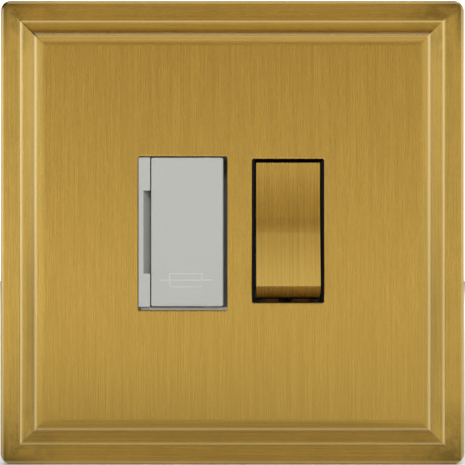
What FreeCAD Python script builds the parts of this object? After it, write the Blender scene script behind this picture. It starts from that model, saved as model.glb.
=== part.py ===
import FreeCAD, Part
import math
import os
import Sketcher

# Fused spur unit: a switched fused connection unit for a single wall box, in millimetres.
# X is to the right, Z is up and the front faces -Y. The wall plane is y = 0, and the origin
# lies midway between the two fixing screws.

V = FreeCAD.Vector
doc = FreeCAD.newDocument("FusedSpurUnit")

# Driving dimensions
sheet = doc.addObject("Spreadsheet::Sheet", "Dims")
DIMENSIONS = [
    ("plate_margin", 16), ("plate_depth", 7.4), ("plate_wall", 1.2), ("plate_corner", 1.6),
    ("rim_side", 2.2), ("rim_round", 0.7), ("band_width", 3.7), ("band_rise", 0.2),
    ("step_round", 0.4), ("foot_slope", 18), ("cove_radius", 4.3), ("cove_slope", 60),
    ("arris_radius", 1.26), ("fall_slope", 25), ("fall_radius", 3.9),
    ("pry_width", 9), ("pry_height", 1.0), ("through", 1),
    ("snug_gap", 0.05), ("fit_gap", 0.1), ("slide_gap", 0.3), ("overlap", 0.5),
    ("window_corner", 0.4), ("window_left_gap", 0.13), ("window_right_gap", 0.77),
    ("window_top_gap", 0.25), ("window_bottom_gap", 0.75),
    ("switch_x", 10.92), ("switch_z", 0.3), ("switch_window_gap", 0.28), ("collar_wall", 0.45),
    ("body_side_room", 4.33), ("body_corner", 3), ("body_wall", 1.6), ("base_depth", 24),
    ("base_edge", 0.6), ("deck_thickness", 2), ("deck_lap", 0.4), ("partition", 1.2),
    ("chamber_gap", 0.5), ("chamber_corner", 1),
    ("yoke_inset", 4), ("yoke_thickness", 1.2), ("yoke_corner", 4), ("yoke_window_gap", 1.05),
    ("yoke_window_corner", 1), ("fixing_hole_gap", 0.35), ("fixing_slot_travel", 2.4),
    ("fixing_slot_corner", 1.6),
    ("fixing_centres", 60.3), ("fixing_radius", 1.75), ("fixing_neck", 1.55),
    ("fixing_length", 22), ("fixing_head", 3.2), ("fixing_head_depth", 1.7),
    ("drive_width", 0.8), ("drive_depth", 0.9),
    ("clamp_inset", 3.4), ("clamp_radius", 1.4), ("clamp_head", 2.3), ("clamp_head_depth", 1.5),
    ("clamp_boss", 2.5), ("clamp_tip_gap", 0.2), ("clamp_drive_width", 0.7),
    ("clamp_drive_depth", 0.7),
    ("liner_inset", 9.5), ("liner_thickness", 1.4), ("liner_side_bar", 3.2), ("hook_width", 7),
    ("hook_spacing", 40), ("hook_thickness", 1.4), ("hook_barb", 0.8), ("hook_out", 3),
    ("hook_tip", 1.4),
    ("door_overhang", 0.35), ("door_thickness", 1.7), ("door_proud", 0.2),
    ("door_corner", 0.4), ("door_edge", 0.3), ("door_z", 0.05), ("door_right", -1.75),
    ("hinge_inset", 3), ("hinge_behind", 2.4), ("hinge_boss", 1.7), ("hinge_pin", 0.8),
    ("hinge_pin_reach", 0.7), ("hinge_room", 1), ("guard_start", 12), ("guard_end", 60),
    ("cheek_thickness", 1.4), ("cheek_heel", 0.8), ("cheek_heel_back", 1),
    ("cheek_end_angle", 92),
    ("strip_width", 2.25), ("strip_gap", 0.2),
    ("notch_width", 1.3), ("notch_depth", 2.2), ("notch_height", 16.3),
    ("ledge_height", 0.45), ("ledge_recess", 0.7), ("tub_wall", 1), ("tub_end_wall", 1.3),
    ("tub_gap", 0.2), ("bearing_lead", 1),
    ("fuse_length", 25.4), ("fuse_radius", 3.175), ("fuse_tube_radius", 2.75),
    ("fuse_cap_length", 5.7), ("fuse_cap_wall", 0.4), ("fuse_cap_round", 0.3),
    ("fuse_side", 5.2), ("fuse_behind", 5.2),
    ("clip_thickness", 0.5), ("clip_gap", 0.15), ("clip_from_mouth", 1.8), ("clip_width", 3.4),
    ("clip_room_angle", 1.1), ("clip_web_angle", 4), ("clip_reach_angle", 23),
    ("clip_lip_angle", 2), ("clip_root", 1.2),
    ("rocker_tilt", 9), ("rocker_chord", 24.4), ("rocker_reach", 8.2), ("rocker_width", 12.5),
    ("dish_half", 1.5), ("dish_middle_radius", 26), ("dish_end_radius", 105),
    ("rocker_return", 4), ("cap_wall", 0.7), ("rocker_wall", 1.2), ("rocker_back", 2.6),
    ("rocker_hub", 2.6), ("ear_front", 5), ("ear_half", 4), ("web_half", 0.6),
    ("pivot_radius", 1), ("pivot_press", 0.02), ("bezel_wall", 1.6), ("bezel_back", 2.5),
    ("bezel_corner", 0.8),
    ("pole_spacing", 6.4), ("plunger_reach", 11.3), ("plunger_radius", 1),
    ("plunger_nose", 0.7), ("plunger_length", 7), ("plunger_gap", 0.2),
    ("plunger_sleeve", 2.1), ("sleeve_short", 2.6), ("sleeve_floor", 1.6),
    ("spring_wire", 0.2),
    ("blade_width", 3.6), ("blade_thickness", 0.8), ("blade_arm", 10), ("blade_tail", 4.5),
    ("tip_radius", 1.3), ("tip_height", 0.6), ("contact_strip", 0.8), ("contact_low", 0.6),
    ("contact_high", 2.4), ("contact_bridge", 3.2), ("contact_end_gap", 0.5),
    ("fulcrum_half", 3), ("fulcrum_cheek", 0.5), ("fulcrum_gap", 0.2),
    ("fulcrum_cheek_half", 1.4), ("fulcrum_root_half", 1), ("fulcrum_ridge_half", 0.3),
    ("fulcrum_ridge_radius", 0.5), ("fulcrum_end_gap", 0.9),
    ("terminal_width", 7), ("terminal_height", 8), ("terminal_depth", 9),
    ("terminal_backing", 2.4), ("terminal_bore", 2.3), ("terminal_bore_inset", 3.4),
    ("terminal_edge", 0.4), ("terminal_sill", 1.4), ("terminal_room", 0.4),
    ("terminal_side_gap", 0.2), ("terminal_seat", 0.15), ("wire_hole", 2.8),
    ("screw_radius", 1.9), ("screw_head", 2.4), ("screw_sunk", 0.6),
    ("strap_thickness", 0.8), ("strap_low", 0.8), ("strap_width", 4.6), ("strap_limb", 5),
    ("strap_foot", 3),
    ("leaf_thickness", 0.4), ("leaf_width", 4), ("leaf_drop", 14), ("leaf_foot", 6),
    ("leaf_bend", 1), ("leaf_rise", 4), ("leaf_crest", 5), ("leaf_tip", 7),
    ("leaf_step", 0.6), ("leaf_fold", 0.2),
]
for row, (alias, value) in enumerate(DIMENSIONS, 1):
    sheet.set(f"A{row}", alias)
    sheet.set(f"B{row}", str(value))
    sheet.setAlias(f"B{row}", alias)
doc.recompute()

# Places worked out from the dimensions, each an expression of its own
place = doc.addObject("App::VarSet", "Place")


def work_out(name, expression):
    """Keep a derived place under a name, and return the way to write it."""
    place.addProperty("App::PropertyFloat", name)
    place.setExpression(name, expression)
    return f"Place.{name}"


def value_of(expression):
    """The present value of an expression, for a sketch's first guess."""
    result = place.evalExpression(expression)
    return float(getattr(result, "Value", result))


def minus(expression):
    return f"(0 - ({expression}))"


def polar(radius, degrees):
    """A point at a radius and an angle, as two expressions."""
    return f"({radius}) * cos(({degrees}) * 1deg)", f"({radius}) * sin(({degrees}) * 1deg)"


# The planes of a body: which way a pad grows on each, and the sign of its offset
PLANES = {"XY_Plane": 1, "XZ_Plane": -1, "YZ_Plane": 1}


def new_body(label, spot=None, axis=None, degrees=None):
    """An empty body, placed at a spot and turned about an axis where that is given."""
    body = doc.addObject("PartDesign::Body", label)
    if axis:
        body.Placement = FreeCAD.Placement(V(0, 0, 0), FreeCAD.Rotation(axis, 1))
        body.setExpression("Placement.Rotation.Angle", f"({degrees}) * 1deg")
    for letter, text in zip("xyz", spot or ()):
        body.setExpression(f"Placement.Base.{letter}", text)
    return body


def draw_line_or_arc(sketch, start, end, radius):
    """Draw one edge and return its number and which ends are its start and end."""
    p, q = V(*start, 0), V(*end, 0)
    if radius is None:
        return sketch.addGeometry(Part.LineSegment(p, q)), 1, 2
    size = abs(value_of(radius))
    turn = 1 if value_of(radius) > 0 else -1
    chord = q - p
    inward = V(-chord.y, chord.x, 0).normalize() * turn
    rise = math.sqrt(max(size ** 2 - (chord.Length / 2) ** 2, 0))
    centre = (p + q) / 2 + inward * rise
    first, last = (p, q) if turn > 0 else (q, p)
    angles = [math.atan2(point.y - centre.y, point.x - centre.x) for point in (first, last)]
    if angles[1] < angles[0]:
        angles[1] += 2 * math.pi
    arc = Part.ArcOfCircle(Part.Circle(centre, V(0, 0, 1), size), *angles)
    ends = (1, 2) if turn > 0 else (2, 1)
    return (sketch.addGeometry(arc), *ends)


def pin_point(sketch, edge, end, spot):
    """Hold a point of a sketch at two expressions."""
    for kind, text in zip(("DistanceX", "DistanceY"), spot):
        number = sketch.addConstraint(Sketcher.Constraint(kind, -1, 1, edge, end, value_of(text)))
        sketch.setExpression(f"Constraints[{number}]", text)


def draw_outline(sketch, outline):
    """Draw a closed outline. Each point is (u, v), or (u, v, radius) where an arc arrives:
    a positive radius turns left and a negative one turns right."""
    points = [(value_of(point[0]), value_of(point[1])) for point in outline]
    edges = []
    for number, point in enumerate(outline):
        radius = point[2] if len(point) > 2 else None
        edge, first, last = draw_line_or_arc(sketch, points[number - 1], points[number], radius)
        edges.append((edge, first, last))
        if radius is not None:
            size = f"abs({radius})"
            count = sketch.addConstraint(Sketcher.Constraint("Radius", edge, value_of(size)))
            sketch.setExpression(f"Constraints[{count}]", size)
    for number, point in enumerate(outline):
        edge, _, last = edges[number]
        following = edges[(number + 1) % len(edges)]
        joined = Sketcher.Constraint("Coincident", edge, last, following[0], following[1])
        sketch.addConstraint(joined)
        pin_point(sketch, edge, last, point[:2])


def draw_circle(sketch, circle):
    """Draw a circle given as (u, v, radius) in a tuple that starts with the word circle."""
    _, u, v, radius = circle
    centre = V(value_of(u), value_of(v), 0)
    edge = sketch.addGeometry(Part.Circle(centre, V(0, 0, 1), value_of(radius)))
    number = sketch.addConstraint(Sketcher.Constraint("Radius", edge, value_of(radius)))
    sketch.setExpression(f"Constraints[{number}]", radius)
    pin_point(sketch, edge, 3, (u, v))


def draw(sketch, *loops):
    for loop in loops:
        if loop[0] == "circle":
            draw_circle(sketch, loop)
        else:
            draw_outline(sketch, loop)
    return sketch


def sketch_on(body, role, offset, loops):
    """A sketch on one of the body's own planes, moved along that plane's normal."""
    sketch = body.newObject("Sketcher::SketchObject", "Sketch")
    plane = [item for item in body.Origin.OriginFeatures if item.Role == role][0]
    sketch.AttachmentSupport = [(plane, "")]
    sketch.MapMode = "FlatFace"
    sketch.setExpression("AttachmentOffset.Base.z", offset)
    return draw(sketch, *loops)


def pad(body, role, low, high, *loops):
    """Add the outlines from low to high along the plane's own axis."""
    offset = low if PLANES[role] > 0 else minus(high)
    item = body.newObject("PartDesign::Pad", "Pad")
    item.Profile = sketch_on(body, role, offset, loops)
    item.setExpression("Length", f"({high}) - ({low})")
    return item


def pocket(body, role, low, high, *loops):
    """Cut the outlines away from low to high along the plane's own axis."""
    offset = high if PLANES[role] > 0 else minus(low)
    item = body.newObject("PartDesign::Pocket", "Pocket")
    item.Profile = sketch_on(body, role, offset, loops)
    item.setExpression("Length", f"({high}) - ({low})")
    return item


def rectangle(u, v, width, height, corner=None):
    """A rectangle about a centre, with rounded corners where a radius is given."""
    left, right = f"{u} - ({width}) / 2", f"{u} + ({width}) / 2"
    low, high = f"{v} - ({height}) / 2", f"{v} + ({height}) / 2"
    return span(left, right, low, high, corner)


def span(left, right, low, high, corner=None):
    """A rectangle between four edges, with rounded corners where a radius is given."""
    if corner is None:
        return [(left, low), (right, low), (right, high), (left, high)]
    inner_left, inner_right = f"{left} + {corner}", f"{right} - {corner}"
    inner_low, inner_high = f"{low} + {corner}", f"{high} - {corner}"
    return [
        (inner_right, low), (right, inner_low, corner), (right, inner_high),
        (inner_right, high, corner), (inner_left, high), (left, inner_high, corner),
        (left, inner_low), (inner_left, low, corner),
    ]


def soften(body, base, radius, chosen, kind="Fillet"):
    """Round or chamfer the edges of a feature that a test picks."""
    doc.recompute()
    names = [f"Edge{n}" for n, edge in enumerate(base.Shape.Edges, 1) if chosen(edge)]
    item = body.newObject(f"PartDesign::{kind}", kind)
    item.Base = (base, names)
    item.setExpression("Radius" if kind == "Fillet" else "Size", radius)
    return item


def lies_at(axis, expression):
    """A test for edges that lie wholly in one plane across an axis."""
    level = value_of(expression)

    def test(edge):
        box = edge.BoundBox
        low, high = getattr(box, f"{axis}Min"), getattr(box, f"{axis}Max")
        return abs(low - level) < 1e-4 and abs(high - level) < 1e-4
    return test


TURNS = {
    "x": FreeCAD.Rotation(V(0, 1, 0), 90),
    "y": FreeCAD.Rotation(V(1, 0, 0), -90),
    "z": FreeCAD.Rotation(),
}


def set_down(item, spot, turn=TURNS["z"]):
    """Place an item at three expressions."""
    item.Placement = FreeCAD.Placement(V(0, 0, 0), turn)
    for letter, text in zip("xyz", spot):
        item.setExpression(f"Placement.Base.{letter}", text)
    return item


def block(name, x, y, z):
    """A block between low and high expressions along each axis."""
    item = doc.addObject("Part::Box", name)
    for side, (low, high) in zip(("Length", "Width", "Height"), (x, y, z)):
        item.setExpression(side, f"({high}) - ({low})")
    return set_down(item, (x[0], y[0], z[0]))


def rod(name, axis, start, end, across, radius):
    """A round bar along an axis, from start to end, at the two places across it."""
    item = doc.addObject("Part::Cylinder", name)
    item.setExpression("Radius", radius)
    item.setExpression("Height", f"({end}) - ({start})")
    spot = list(across)
    spot.insert("xyz".index(axis), start)
    return set_down(item, spot, TURNS[axis])


def cut(name, base, *tools):
    item = doc.addObject("Part::Cut", name)
    item.Base = base
    item.Tool = tools[0] if len(tools) == 1 else fuse(f"{name}_tools", *tools)
    return item


def fuse(name, *items):
    item = doc.addObject("Part::MultiFuse", name)
    item.Shapes = list(items)
    return item


def common(name, *items):
    item = doc.addObject("Part::MultiCommon", name)
    item.Shapes = list(items)
    return item


def group(name, *items):
    item = doc.addObject("Part::Compound", name)
    item.Links = list(items)
    return item


# Places along Y, from the panel back to the wall
PANEL_FACE = work_out("panel_face", "-Dims.plate_depth")
PANEL_BACK = work_out("panel_back", "Dims.plate_wall - Dims.plate_depth")
YOKE_FRONT = work_out("yoke_front", "-Dims.yoke_thickness")
LINER_BACK = work_out("liner_back", f"{PANEL_BACK} + Dims.liner_thickness")
DOOR_FACE = work_out("door_face", f"{PANEL_FACE} - Dims.door_proud")

# The fuse carrier: its size comes from the fuse, which swings about the hinge
HINGE_X = work_out("hinge_x", "Dims.door_right - Dims.hinge_inset")
HINGE_Y = work_out("hinge_y", f"{DOOR_FACE} + Dims.hinge_behind")
FUSE_SWING = work_out("fuse_swing", "sqrt(Dims.fuse_side ^ 2 + Dims.fuse_behind ^ 2)")
FUSE_GRIP = work_out("fuse_grip", "Dims.fuse_radius + Dims.clip_gap")
CARRIER_RADIUS = work_out(
    "carrier_radius", f"{FUSE_SWING} + {FUSE_GRIP} + Dims.clip_thickness")
CHEEK_INNER = work_out("cheek_inner", "Dims.fuse_length / 2 + Dims.clip_gap")
DOOR_WIDTH = work_out("door_width", f"Dims.hinge_inset + {CARRIER_RADIUS}")
DOOR_HALF = work_out("door_half", f"{CHEEK_INNER} + Dims.cheek_thickness + Dims.door_overhang")
DOOR_LEFT = work_out("door_left", f"Dims.door_right - {DOOR_WIDTH}")
STRIP_RIGHT = work_out("strip_right", f"{DOOR_LEFT} - Dims.strip_gap")
STRIP_LEFT = work_out("strip_left", f"{STRIP_RIGHT} - Dims.strip_width")
TUB_RIGHT = work_out("tub_right", "Dims.door_right + Dims.hinge_room")
DOOR_SWING = work_out(
    "door_swing", "sqrt(Dims.hinge_inset ^ 2 + Dims.hinge_behind ^ 2) + Dims.slide_gap")
TUB_HALF = work_out("tub_half", f"{DOOR_HALF} + Dims.tub_gap")
TUB_END = work_out("tub_end", f"{TUB_HALF} + Dims.tub_end_wall")
TUB_FLOOR = work_out("tub_floor", f"{HINGE_Y} + {CARRIER_RADIUS} + Dims.slide_gap")
FUSE_ANGLE = work_out("fuse_angle", "180 - atan(Dims.fuse_behind / Dims.fuse_side) / 1deg")
GRIP_ANGLE = work_out("grip_angle", f"asin({FUSE_GRIP} / {FUSE_SWING}) / 1deg")
HOLLOW_FROM = work_out("hollow_from", f"{FUSE_ANGLE} - {GRIP_ANGLE} - Dims.clip_room_angle")
CLIP_FROM = work_out("clip_from", f"{HOLLOW_FROM} - Dims.clip_web_angle")
CLIP_TO = work_out("clip_to", f"{FUSE_ANGLE} + Dims.clip_reach_angle")
CLIP_LOW = work_out(
    "clip_low", "Dims.fuse_length / 2 - Dims.fuse_cap_length + Dims.clip_from_mouth")

# The plate's fuse window lies round the door, the strip and the ledge
FUSE_WINDOW_LEFT = work_out("fuse_window_left", f"{STRIP_LEFT} - Dims.window_left_gap")
FUSE_WINDOW_RIGHT = work_out("fuse_window_right", "Dims.door_right + Dims.window_right_gap")
FUSE_WINDOW_LOW = work_out(
    "fuse_window_low", f"Dims.door_z - {DOOR_HALF} - Dims.window_bottom_gap")
FUSE_WINDOW_HIGH = work_out(
    "fuse_window_high", f"Dims.door_z + {DOOR_HALF} + Dims.window_top_gap")

# The rocker: its pressed end lies flush with the plate, and its window and bezel clear it
ROCKER_RADIUS = work_out(
    "rocker_radius", "sqrt(Dims.rocker_reach ^ 2 + (Dims.rocker_chord / 2) ^ 2)")
PIVOT_Y = work_out(
    "pivot_y", f"{PANEL_FACE} + Dims.rocker_reach * cos(Dims.rocker_tilt * 1deg)"
    " - Dims.rocker_chord / 2 * sin(Dims.rocker_tilt * 1deg)")
BEZEL_HALF = work_out("bezel_half", f"{ROCKER_RADIUS} + Dims.slide_gap")
BEZEL_INNER = work_out("bezel_inner", "Dims.rocker_width / 2 + Dims.slide_gap")
BEZEL_SIDE = work_out("bezel_side", f"{BEZEL_INNER} + Dims.bezel_wall")
BEZEL_END = work_out("bezel_end", f"{BEZEL_HALF} + Dims.bezel_wall")
SWITCH_WINDOW_WIDTH = work_out(
    "switch_window_width", f"2 * ({BEZEL_INNER} + Dims.collar_wall + Dims.snug_gap)")
SWITCH_WINDOW_HALF = work_out(
    "switch_window_half",
    f"sqrt({ROCKER_RADIUS} ^ 2 - ({PIVOT_Y} - {PANEL_BACK}) ^ 2) + Dims.switch_window_gap")
DISH_MIDDLE_SINE = work_out("dish_middle_sine", "Dims.dish_half / Dims.dish_middle_radius")
DISH_END_SINE = work_out(
    "dish_end_sine",
    f"{DISH_MIDDLE_SINE} + (Dims.rocker_chord / 2 - Dims.dish_half) / Dims.dish_end_radius")
DISH_DEPTH = work_out(
    "dish_depth", "Dims.dish_end_radius"
    f" * (sqrt(1 - {DISH_MIDDLE_SINE} ^ 2) - sqrt(1 - {DISH_END_SINE} ^ 2))")

# The switch gear behind the rocker
BLADE_Y = work_out(
    "blade_y", f"{PIVOT_Y} + Dims.plunger_reach + Dims.plunger_gap + Dims.blade_thickness")
STRIP_FRONT = work_out(
    "strip_front", f"{BLADE_Y} + 2 * Dims.tip_height + Dims.fit_gap")
STRIP_BACK = work_out("strip_back", f"{STRIP_FRONT} + Dims.contact_strip")
DECK_FRONT = work_out("deck_front", f"{STRIP_BACK} + Dims.fit_gap")

# The terminal chambers lie above and below the bezel and the tub, and set the body's height
CHAMBER_EDGE = work_out(
    "chamber_edge", f"max({BEZEL_END} + abs(Dims.switch_z); {TUB_END} + abs(Dims.door_z))"
    " + Dims.chamber_gap + Dims.partition")
MIDDLE_HALF = work_out("middle_half", f"{CHAMBER_EDGE} - Dims.partition")
TERMINAL_LOW = work_out("terminal_low", f"{CHAMBER_EDGE} + Dims.terminal_sill")
TERMINAL_HIGH = work_out("terminal_high", f"{TERMINAL_LOW} + Dims.terminal_height")
TERMINAL_MIDDLE = work_out("terminal_middle", f"({TERMINAL_LOW} + {TERMINAL_HIGH}) / 2")
HOUSING_INNER_Z = work_out("housing_inner_z", f"{TERMINAL_HIGH} + Dims.terminal_room")
BODY_HALF_Z = work_out("body_half_z", f"{HOUSING_INNER_Z} + Dims.body_wall")
HOUSING_INNER_X = work_out(
    "housing_inner_x", f"Dims.switch_x + {BEZEL_SIDE} + Dims.body_side_room")
BODY_HALF_X = work_out("body_half_x", f"{HOUSING_INNER_X} + Dims.body_wall")
FLOOR_FRONT = work_out("floor_front", "Dims.base_depth - Dims.body_wall")
TERMINAL_BACK = work_out("terminal_back", f"{FLOOR_FRONT} - Dims.terminal_backing")
TERMINAL_FRONT = work_out("terminal_front", f"{TERMINAL_BACK} - Dims.terminal_depth")
TERMINAL_BORE_Y = work_out("terminal_bore_y", f"{TERMINAL_FRONT} + Dims.terminal_bore_inset")
CLAMP_X = work_out("clamp_x", f"{BODY_HALF_X} - Dims.clamp_inset")
CLAMP_Z = work_out("clamp_z", f"{BODY_HALF_Z} - Dims.clamp_inset")
TERMINAL_REACH = work_out(
    "terminal_reach",
    f"{CLAMP_X} - Dims.clamp_boss - Dims.terminal_side_gap - Dims.terminal_width / 2")

# The plate stands past the body on every side, and the yoke and the liner lie within it
PLATE_HALF = work_out("plate_half", f"{BODY_HALF_Z} + Dims.plate_margin")
PLATE_SIZE = work_out("plate_size", f"2 * {PLATE_HALF}")
YOKE_SIZE = work_out("yoke_size", f"2 * ({PLATE_HALF} - Dims.yoke_inset)")
LINER_HALF = work_out("liner_half", f"{PLATE_HALF} - Dims.liner_inset")
HOOK_Z = work_out("hook_z", f"{BODY_HALF_Z} + Dims.hook_out")
doc.recompute()

POLES = {"line": -1, "neutral": 1}
POLE_X = {
    pole: work_out(f"pole_x_{pole}", f"Dims.switch_x + {side} * Dims.pole_spacing / 2")
    for pole, side in POLES.items()
}
TERMINALS = {
    "terminal_earth_out": (minus(TERMINAL_REACH), 1),
    "terminal_earth_in": ("0", 1),
    "terminal_neutral_out": (TERMINAL_REACH, 1),
    "terminal_line_out": (minus(TERMINAL_REACH), -1),
    "terminal_line_in": ("0", -1),
    "terminal_neutral_in": (TERMINAL_REACH, -1),
}
doc.recompute()


def corners(x, z):
    """The four spots at plus and minus x and z."""
    return [(a, b) for a in (minus(x), x) for b in (minus(z), z)]


def body_outline():
    """The outline that the front moulding and the rear base share."""
    return rectangle("0", "0", f"2 * {BODY_HALF_X}", f"2 * {BODY_HALF_Z}", "Dims.body_corner")


# Plate: one stepped section, run both ways and kept where the two runs agree, so that its
# arrises meet in mitres at the corners. The hollow behind is made the same way.
def mirrored(steps):
    """A whole section from its left half, given as (inset, height) or (inset, height, radius)."""
    left = [(f"{s[0]} - {PLATE_HALF}", minus(s[1]), *s[2:]) for s in steps]
    right = []
    for number in range(len(steps) - 1, -1, -1):
        inset, height = steps[number][:2]
        arriving = steps[number + 1][2:] if number + 1 < len(steps) else ()
        right.append((f"{PLATE_HALF} - ({inset})", minus(height), *arriving))
    return left + right


def run_both_ways(name, steps):
    section = draw(doc.addObject("Sketcher::SketchObject", f"{name}_section"), mirrored(steps))
    runs = []
    for way, turn in (("up", TURNS["z"]), ("across", TURNS["x"])):
        run = doc.addObject("Part::Extrusion", f"{name}_{way}")
        run.Base = section
        run.DirMode = "Normal"
        run.setExpression("LengthFwd", PLATE_SIZE)
        run.Solid = True
        run.Symmetric = True
        run.Placement = FreeCAD.Placement(V(0, 0, 0), turn)
        runs.append(run)
    return runs


def sine(slope):
    return f"sin({slope} * 1deg)"


def cosine(slope):
    return f"cos({slope} * 1deg)"


def front_plate():
    foot, steep, fall = "Dims.foot_slope", "Dims.cove_slope", "Dims.fall_slope"
    rim_top = work_out("rim_top", "Dims.rim_side + Dims.rim_round")
    band_top = work_out("band_top", f"{rim_top} + Dims.band_rise")
    fall_top = work_out(
        "fall_top", f"Dims.plate_depth - Dims.fall_radius * (1 - {cosine(fall)})")
    cove_top = work_out(
        "cove_top", f"{fall_top} - Dims.arris_radius * ({cosine(fall)} - {cosine(steep)})")
    foot_top = work_out(
        "foot_top", f"{cove_top} - Dims.cove_radius * ({cosine(foot)} - {cosine(steep)})")
    step_side = work_out("step_side", f"{foot_top} - Dims.step_round * {cosine(foot)}")
    foot_in = work_out("foot_in", f"Dims.band_width + Dims.step_round * (1 - {sine(foot)})")
    cove_in = work_out(
        "cove_in", f"{foot_in} + Dims.cove_radius * ({sine(steep)} - {sine(foot)})")
    fall_in = work_out(
        "fall_in", f"{cove_in} + Dims.arris_radius * ({sine(steep)} - {sine(fall)})")
    panel_in = work_out("panel_in", f"{fall_in} + Dims.fall_radius * {sine(fall)}")
    doc.recompute()
    outside = [
        ("0", "0"), ("0", "Dims.rim_side"), ("Dims.rim_round", rim_top, "Dims.rim_round"),
        ("Dims.band_width", band_top), ("Dims.band_width", step_side),
        (foot_in, foot_top, "Dims.step_round"), (cove_in, cove_top, "-Dims.cove_radius"),
        (fall_in, fall_top, "Dims.arris_radius"),
        (panel_in, "Dims.plate_depth", "Dims.fall_radius"),
    ]
    wall = "Dims.plate_wall"
    inside = [
        (wall, "-Dims.through"), (wall, f"({rim_top} - {wall})"),
        (f"(Dims.band_width + {wall})", f"({band_top} - {wall})"),
        (f"({foot_in} + {wall} * {sine(foot)})", f"({foot_top} - {wall} * {cosine(foot)})"),
        (f"({cove_in} + {wall} * {sine(steep)})", f"({cove_top} - {wall} * {cosine(steep)})",
         f"-(Dims.cove_radius + {wall})"),
        (panel_in, f"(Dims.plate_depth - {wall})"),
    ]
    blank = new_body("plate_blank")
    pad(blank, "XZ_Plane", "-Dims.plate_depth - Dims.through", "Dims.through",
        rectangle("0", "0", PLATE_SIZE, PLATE_SIZE, "Dims.plate_corner"))
    windows = new_body("plate_windows")
    pad(windows, "XZ_Plane", "-Dims.plate_depth - Dims.through", "0",
        span(FUSE_WINDOW_LEFT, FUSE_WINDOW_RIGHT, FUSE_WINDOW_LOW, FUSE_WINDOW_HIGH,
             "Dims.window_corner"),
        rectangle("Dims.switch_x", "Dims.switch_z", SWITCH_WINDOW_WIDTH,
                  f"2 * {SWITCH_WINDOW_HALF}", "Dims.window_corner"))
    pry = block("pry_notch", ("-Dims.pry_width / 2", "Dims.pry_width / 2"),
                ("-Dims.pry_height", "Dims.through"),
                (f"0 - {PLATE_HALF} - Dims.through",
                 f"0 - {PLATE_HALF} + Dims.plate_wall + Dims.through"))
    outer = common("plate_outer", blank, *run_both_ways("outer", outside))
    inner = common("plate_inner", *run_both_ways("inner", inside))
    return cut("front_plate_shell", outer, inner, windows, pry)


# Liner: a nylon frame behind the panel whose four hooks pass through the yoke and catch
# behind it, so the plate clips on with no screw showing.
def plate_liner():
    body = new_body("liner_body")
    opening = f"2 * ({LINER_HALF} - Dims.liner_side_bar)"
    pad(body, "XZ_Plane", PANEL_BACK, LINER_BACK,
        rectangle("0", "0", f"2 * {LINER_HALF}", f"2 * {LINER_HALF}", "Dims.body_corner"),
        rectangle("0", "0", opening, f"2 * ({BODY_HALF_Z} + Dims.slide_gap)"))
    back = f"({HOOK_Z} - Dims.hook_thickness)"
    barb = f"({HOOK_Z} + Dims.hook_barb)"
    start = f"{PANEL_BACK} + Dims.liner_thickness / 2"
    behind, tip = "Dims.slide_gap", "(Dims.slide_gap + Dims.hook_tip)"
    upper = [(start, back), (tip, back), (tip, HOOK_Z), (behind, barb), (behind, HOOK_Z),
             (start, HOOK_Z)]
    lower = [(u, minus(v)) for u, v in reversed(upper)]
    for side in ("-1", "1"):
        left = f"{side} * Dims.hook_spacing / 2 - Dims.hook_width / 2"
        right = f"{side} * Dims.hook_spacing / 2 + Dims.hook_width / 2"
        for hook in (upper, lower):
            pad(body, "YZ_Plane", left, right, hook)
    return body


def mounting_yoke():
    body = new_body("yoke_body")
    slot_high = f"({HOOK_Z} + Dims.hook_barb + Dims.slide_gap)"
    slot_low = f"({HOOK_Z} - Dims.hook_thickness - Dims.slide_gap)"
    openings = [("circle", x, z, "Dims.clamp_radius + Dims.fit_gap")
                for x, z in corners(CLAMP_X, CLAMP_Z)]
    for side in ("-1", "1"):
        left = f"{side} * Dims.hook_spacing / 2 - Dims.hook_width / 2 - Dims.slide_gap"
        right = f"{side} * Dims.hook_spacing / 2 + Dims.hook_width / 2 + Dims.slide_gap"
        openings.append(span(left, right, slot_low, slot_high))
        openings.append(span(left, right, minus(slot_high), minus(slot_low)))
    fixing = "(Dims.fixing_radius + Dims.fixing_hole_gap)"
    openings.append(("circle", "-Dims.fixing_centres / 2", "0", fixing))
    openings.append(rectangle("Dims.fixing_centres / 2", "0", f"2 * {fixing}",
                              f"2 * {fixing} + Dims.fixing_slot_travel",
                              "Dims.fixing_slot_corner"))
    window_x = (f"(max(Dims.switch_x + {BEZEL_SIDE}; Dims.tub_wall - {STRIP_RIGHT})"
                " + Dims.yoke_window_gap)")
    window_z = f"({MIDDLE_HALF} - Dims.chamber_gap + Dims.yoke_window_gap)"
    openings.append(rectangle("0", "0", f"2 * {window_x}", f"2 * {window_z}",
                              "Dims.yoke_window_corner"))
    pad(body, "XZ_Plane", YOKE_FRONT, "0",
        rectangle("0", "0", YOKE_SIZE, YOKE_SIZE, "Dims.yoke_corner"), *openings)
    return body


def fixing_screws():
    screws = []
    seat = f"{YOKE_FRONT} - Dims.snug_gap"
    top = f"{seat} - Dims.fixing_head_depth"
    for side, x in (("left", "-Dims.fixing_centres / 2"), ("right", "Dims.fixing_centres / 2")):
        shank = rod(f"shank_{side}", "y", seat, "0", (x, "0"), "Dims.fixing_neck")
        thread = rod(f"thread_{side}", "y", "0", "Dims.fixing_length", (x, "0"),
                     "Dims.fixing_radius")
        head = rod(f"head_{side}", "y", top, seat, (x, "0"), "Dims.fixing_head")
        slot = block(f"slot_{side}", (f"{x} - 2 * Dims.fixing_head", f"{x} + 2 * Dims.fixing_head"),
                     (f"{top} - Dims.through", f"{top} + Dims.drive_depth"),
                     ("-Dims.drive_width / 2", "Dims.drive_width / 2"))
        solid = fuse(f"screw_{side}", shank, thread, head)
        screws.append(cut(f"fixing_screw_{side}", solid, slot))
    return group("fixing_screw_pair", *screws)


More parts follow.
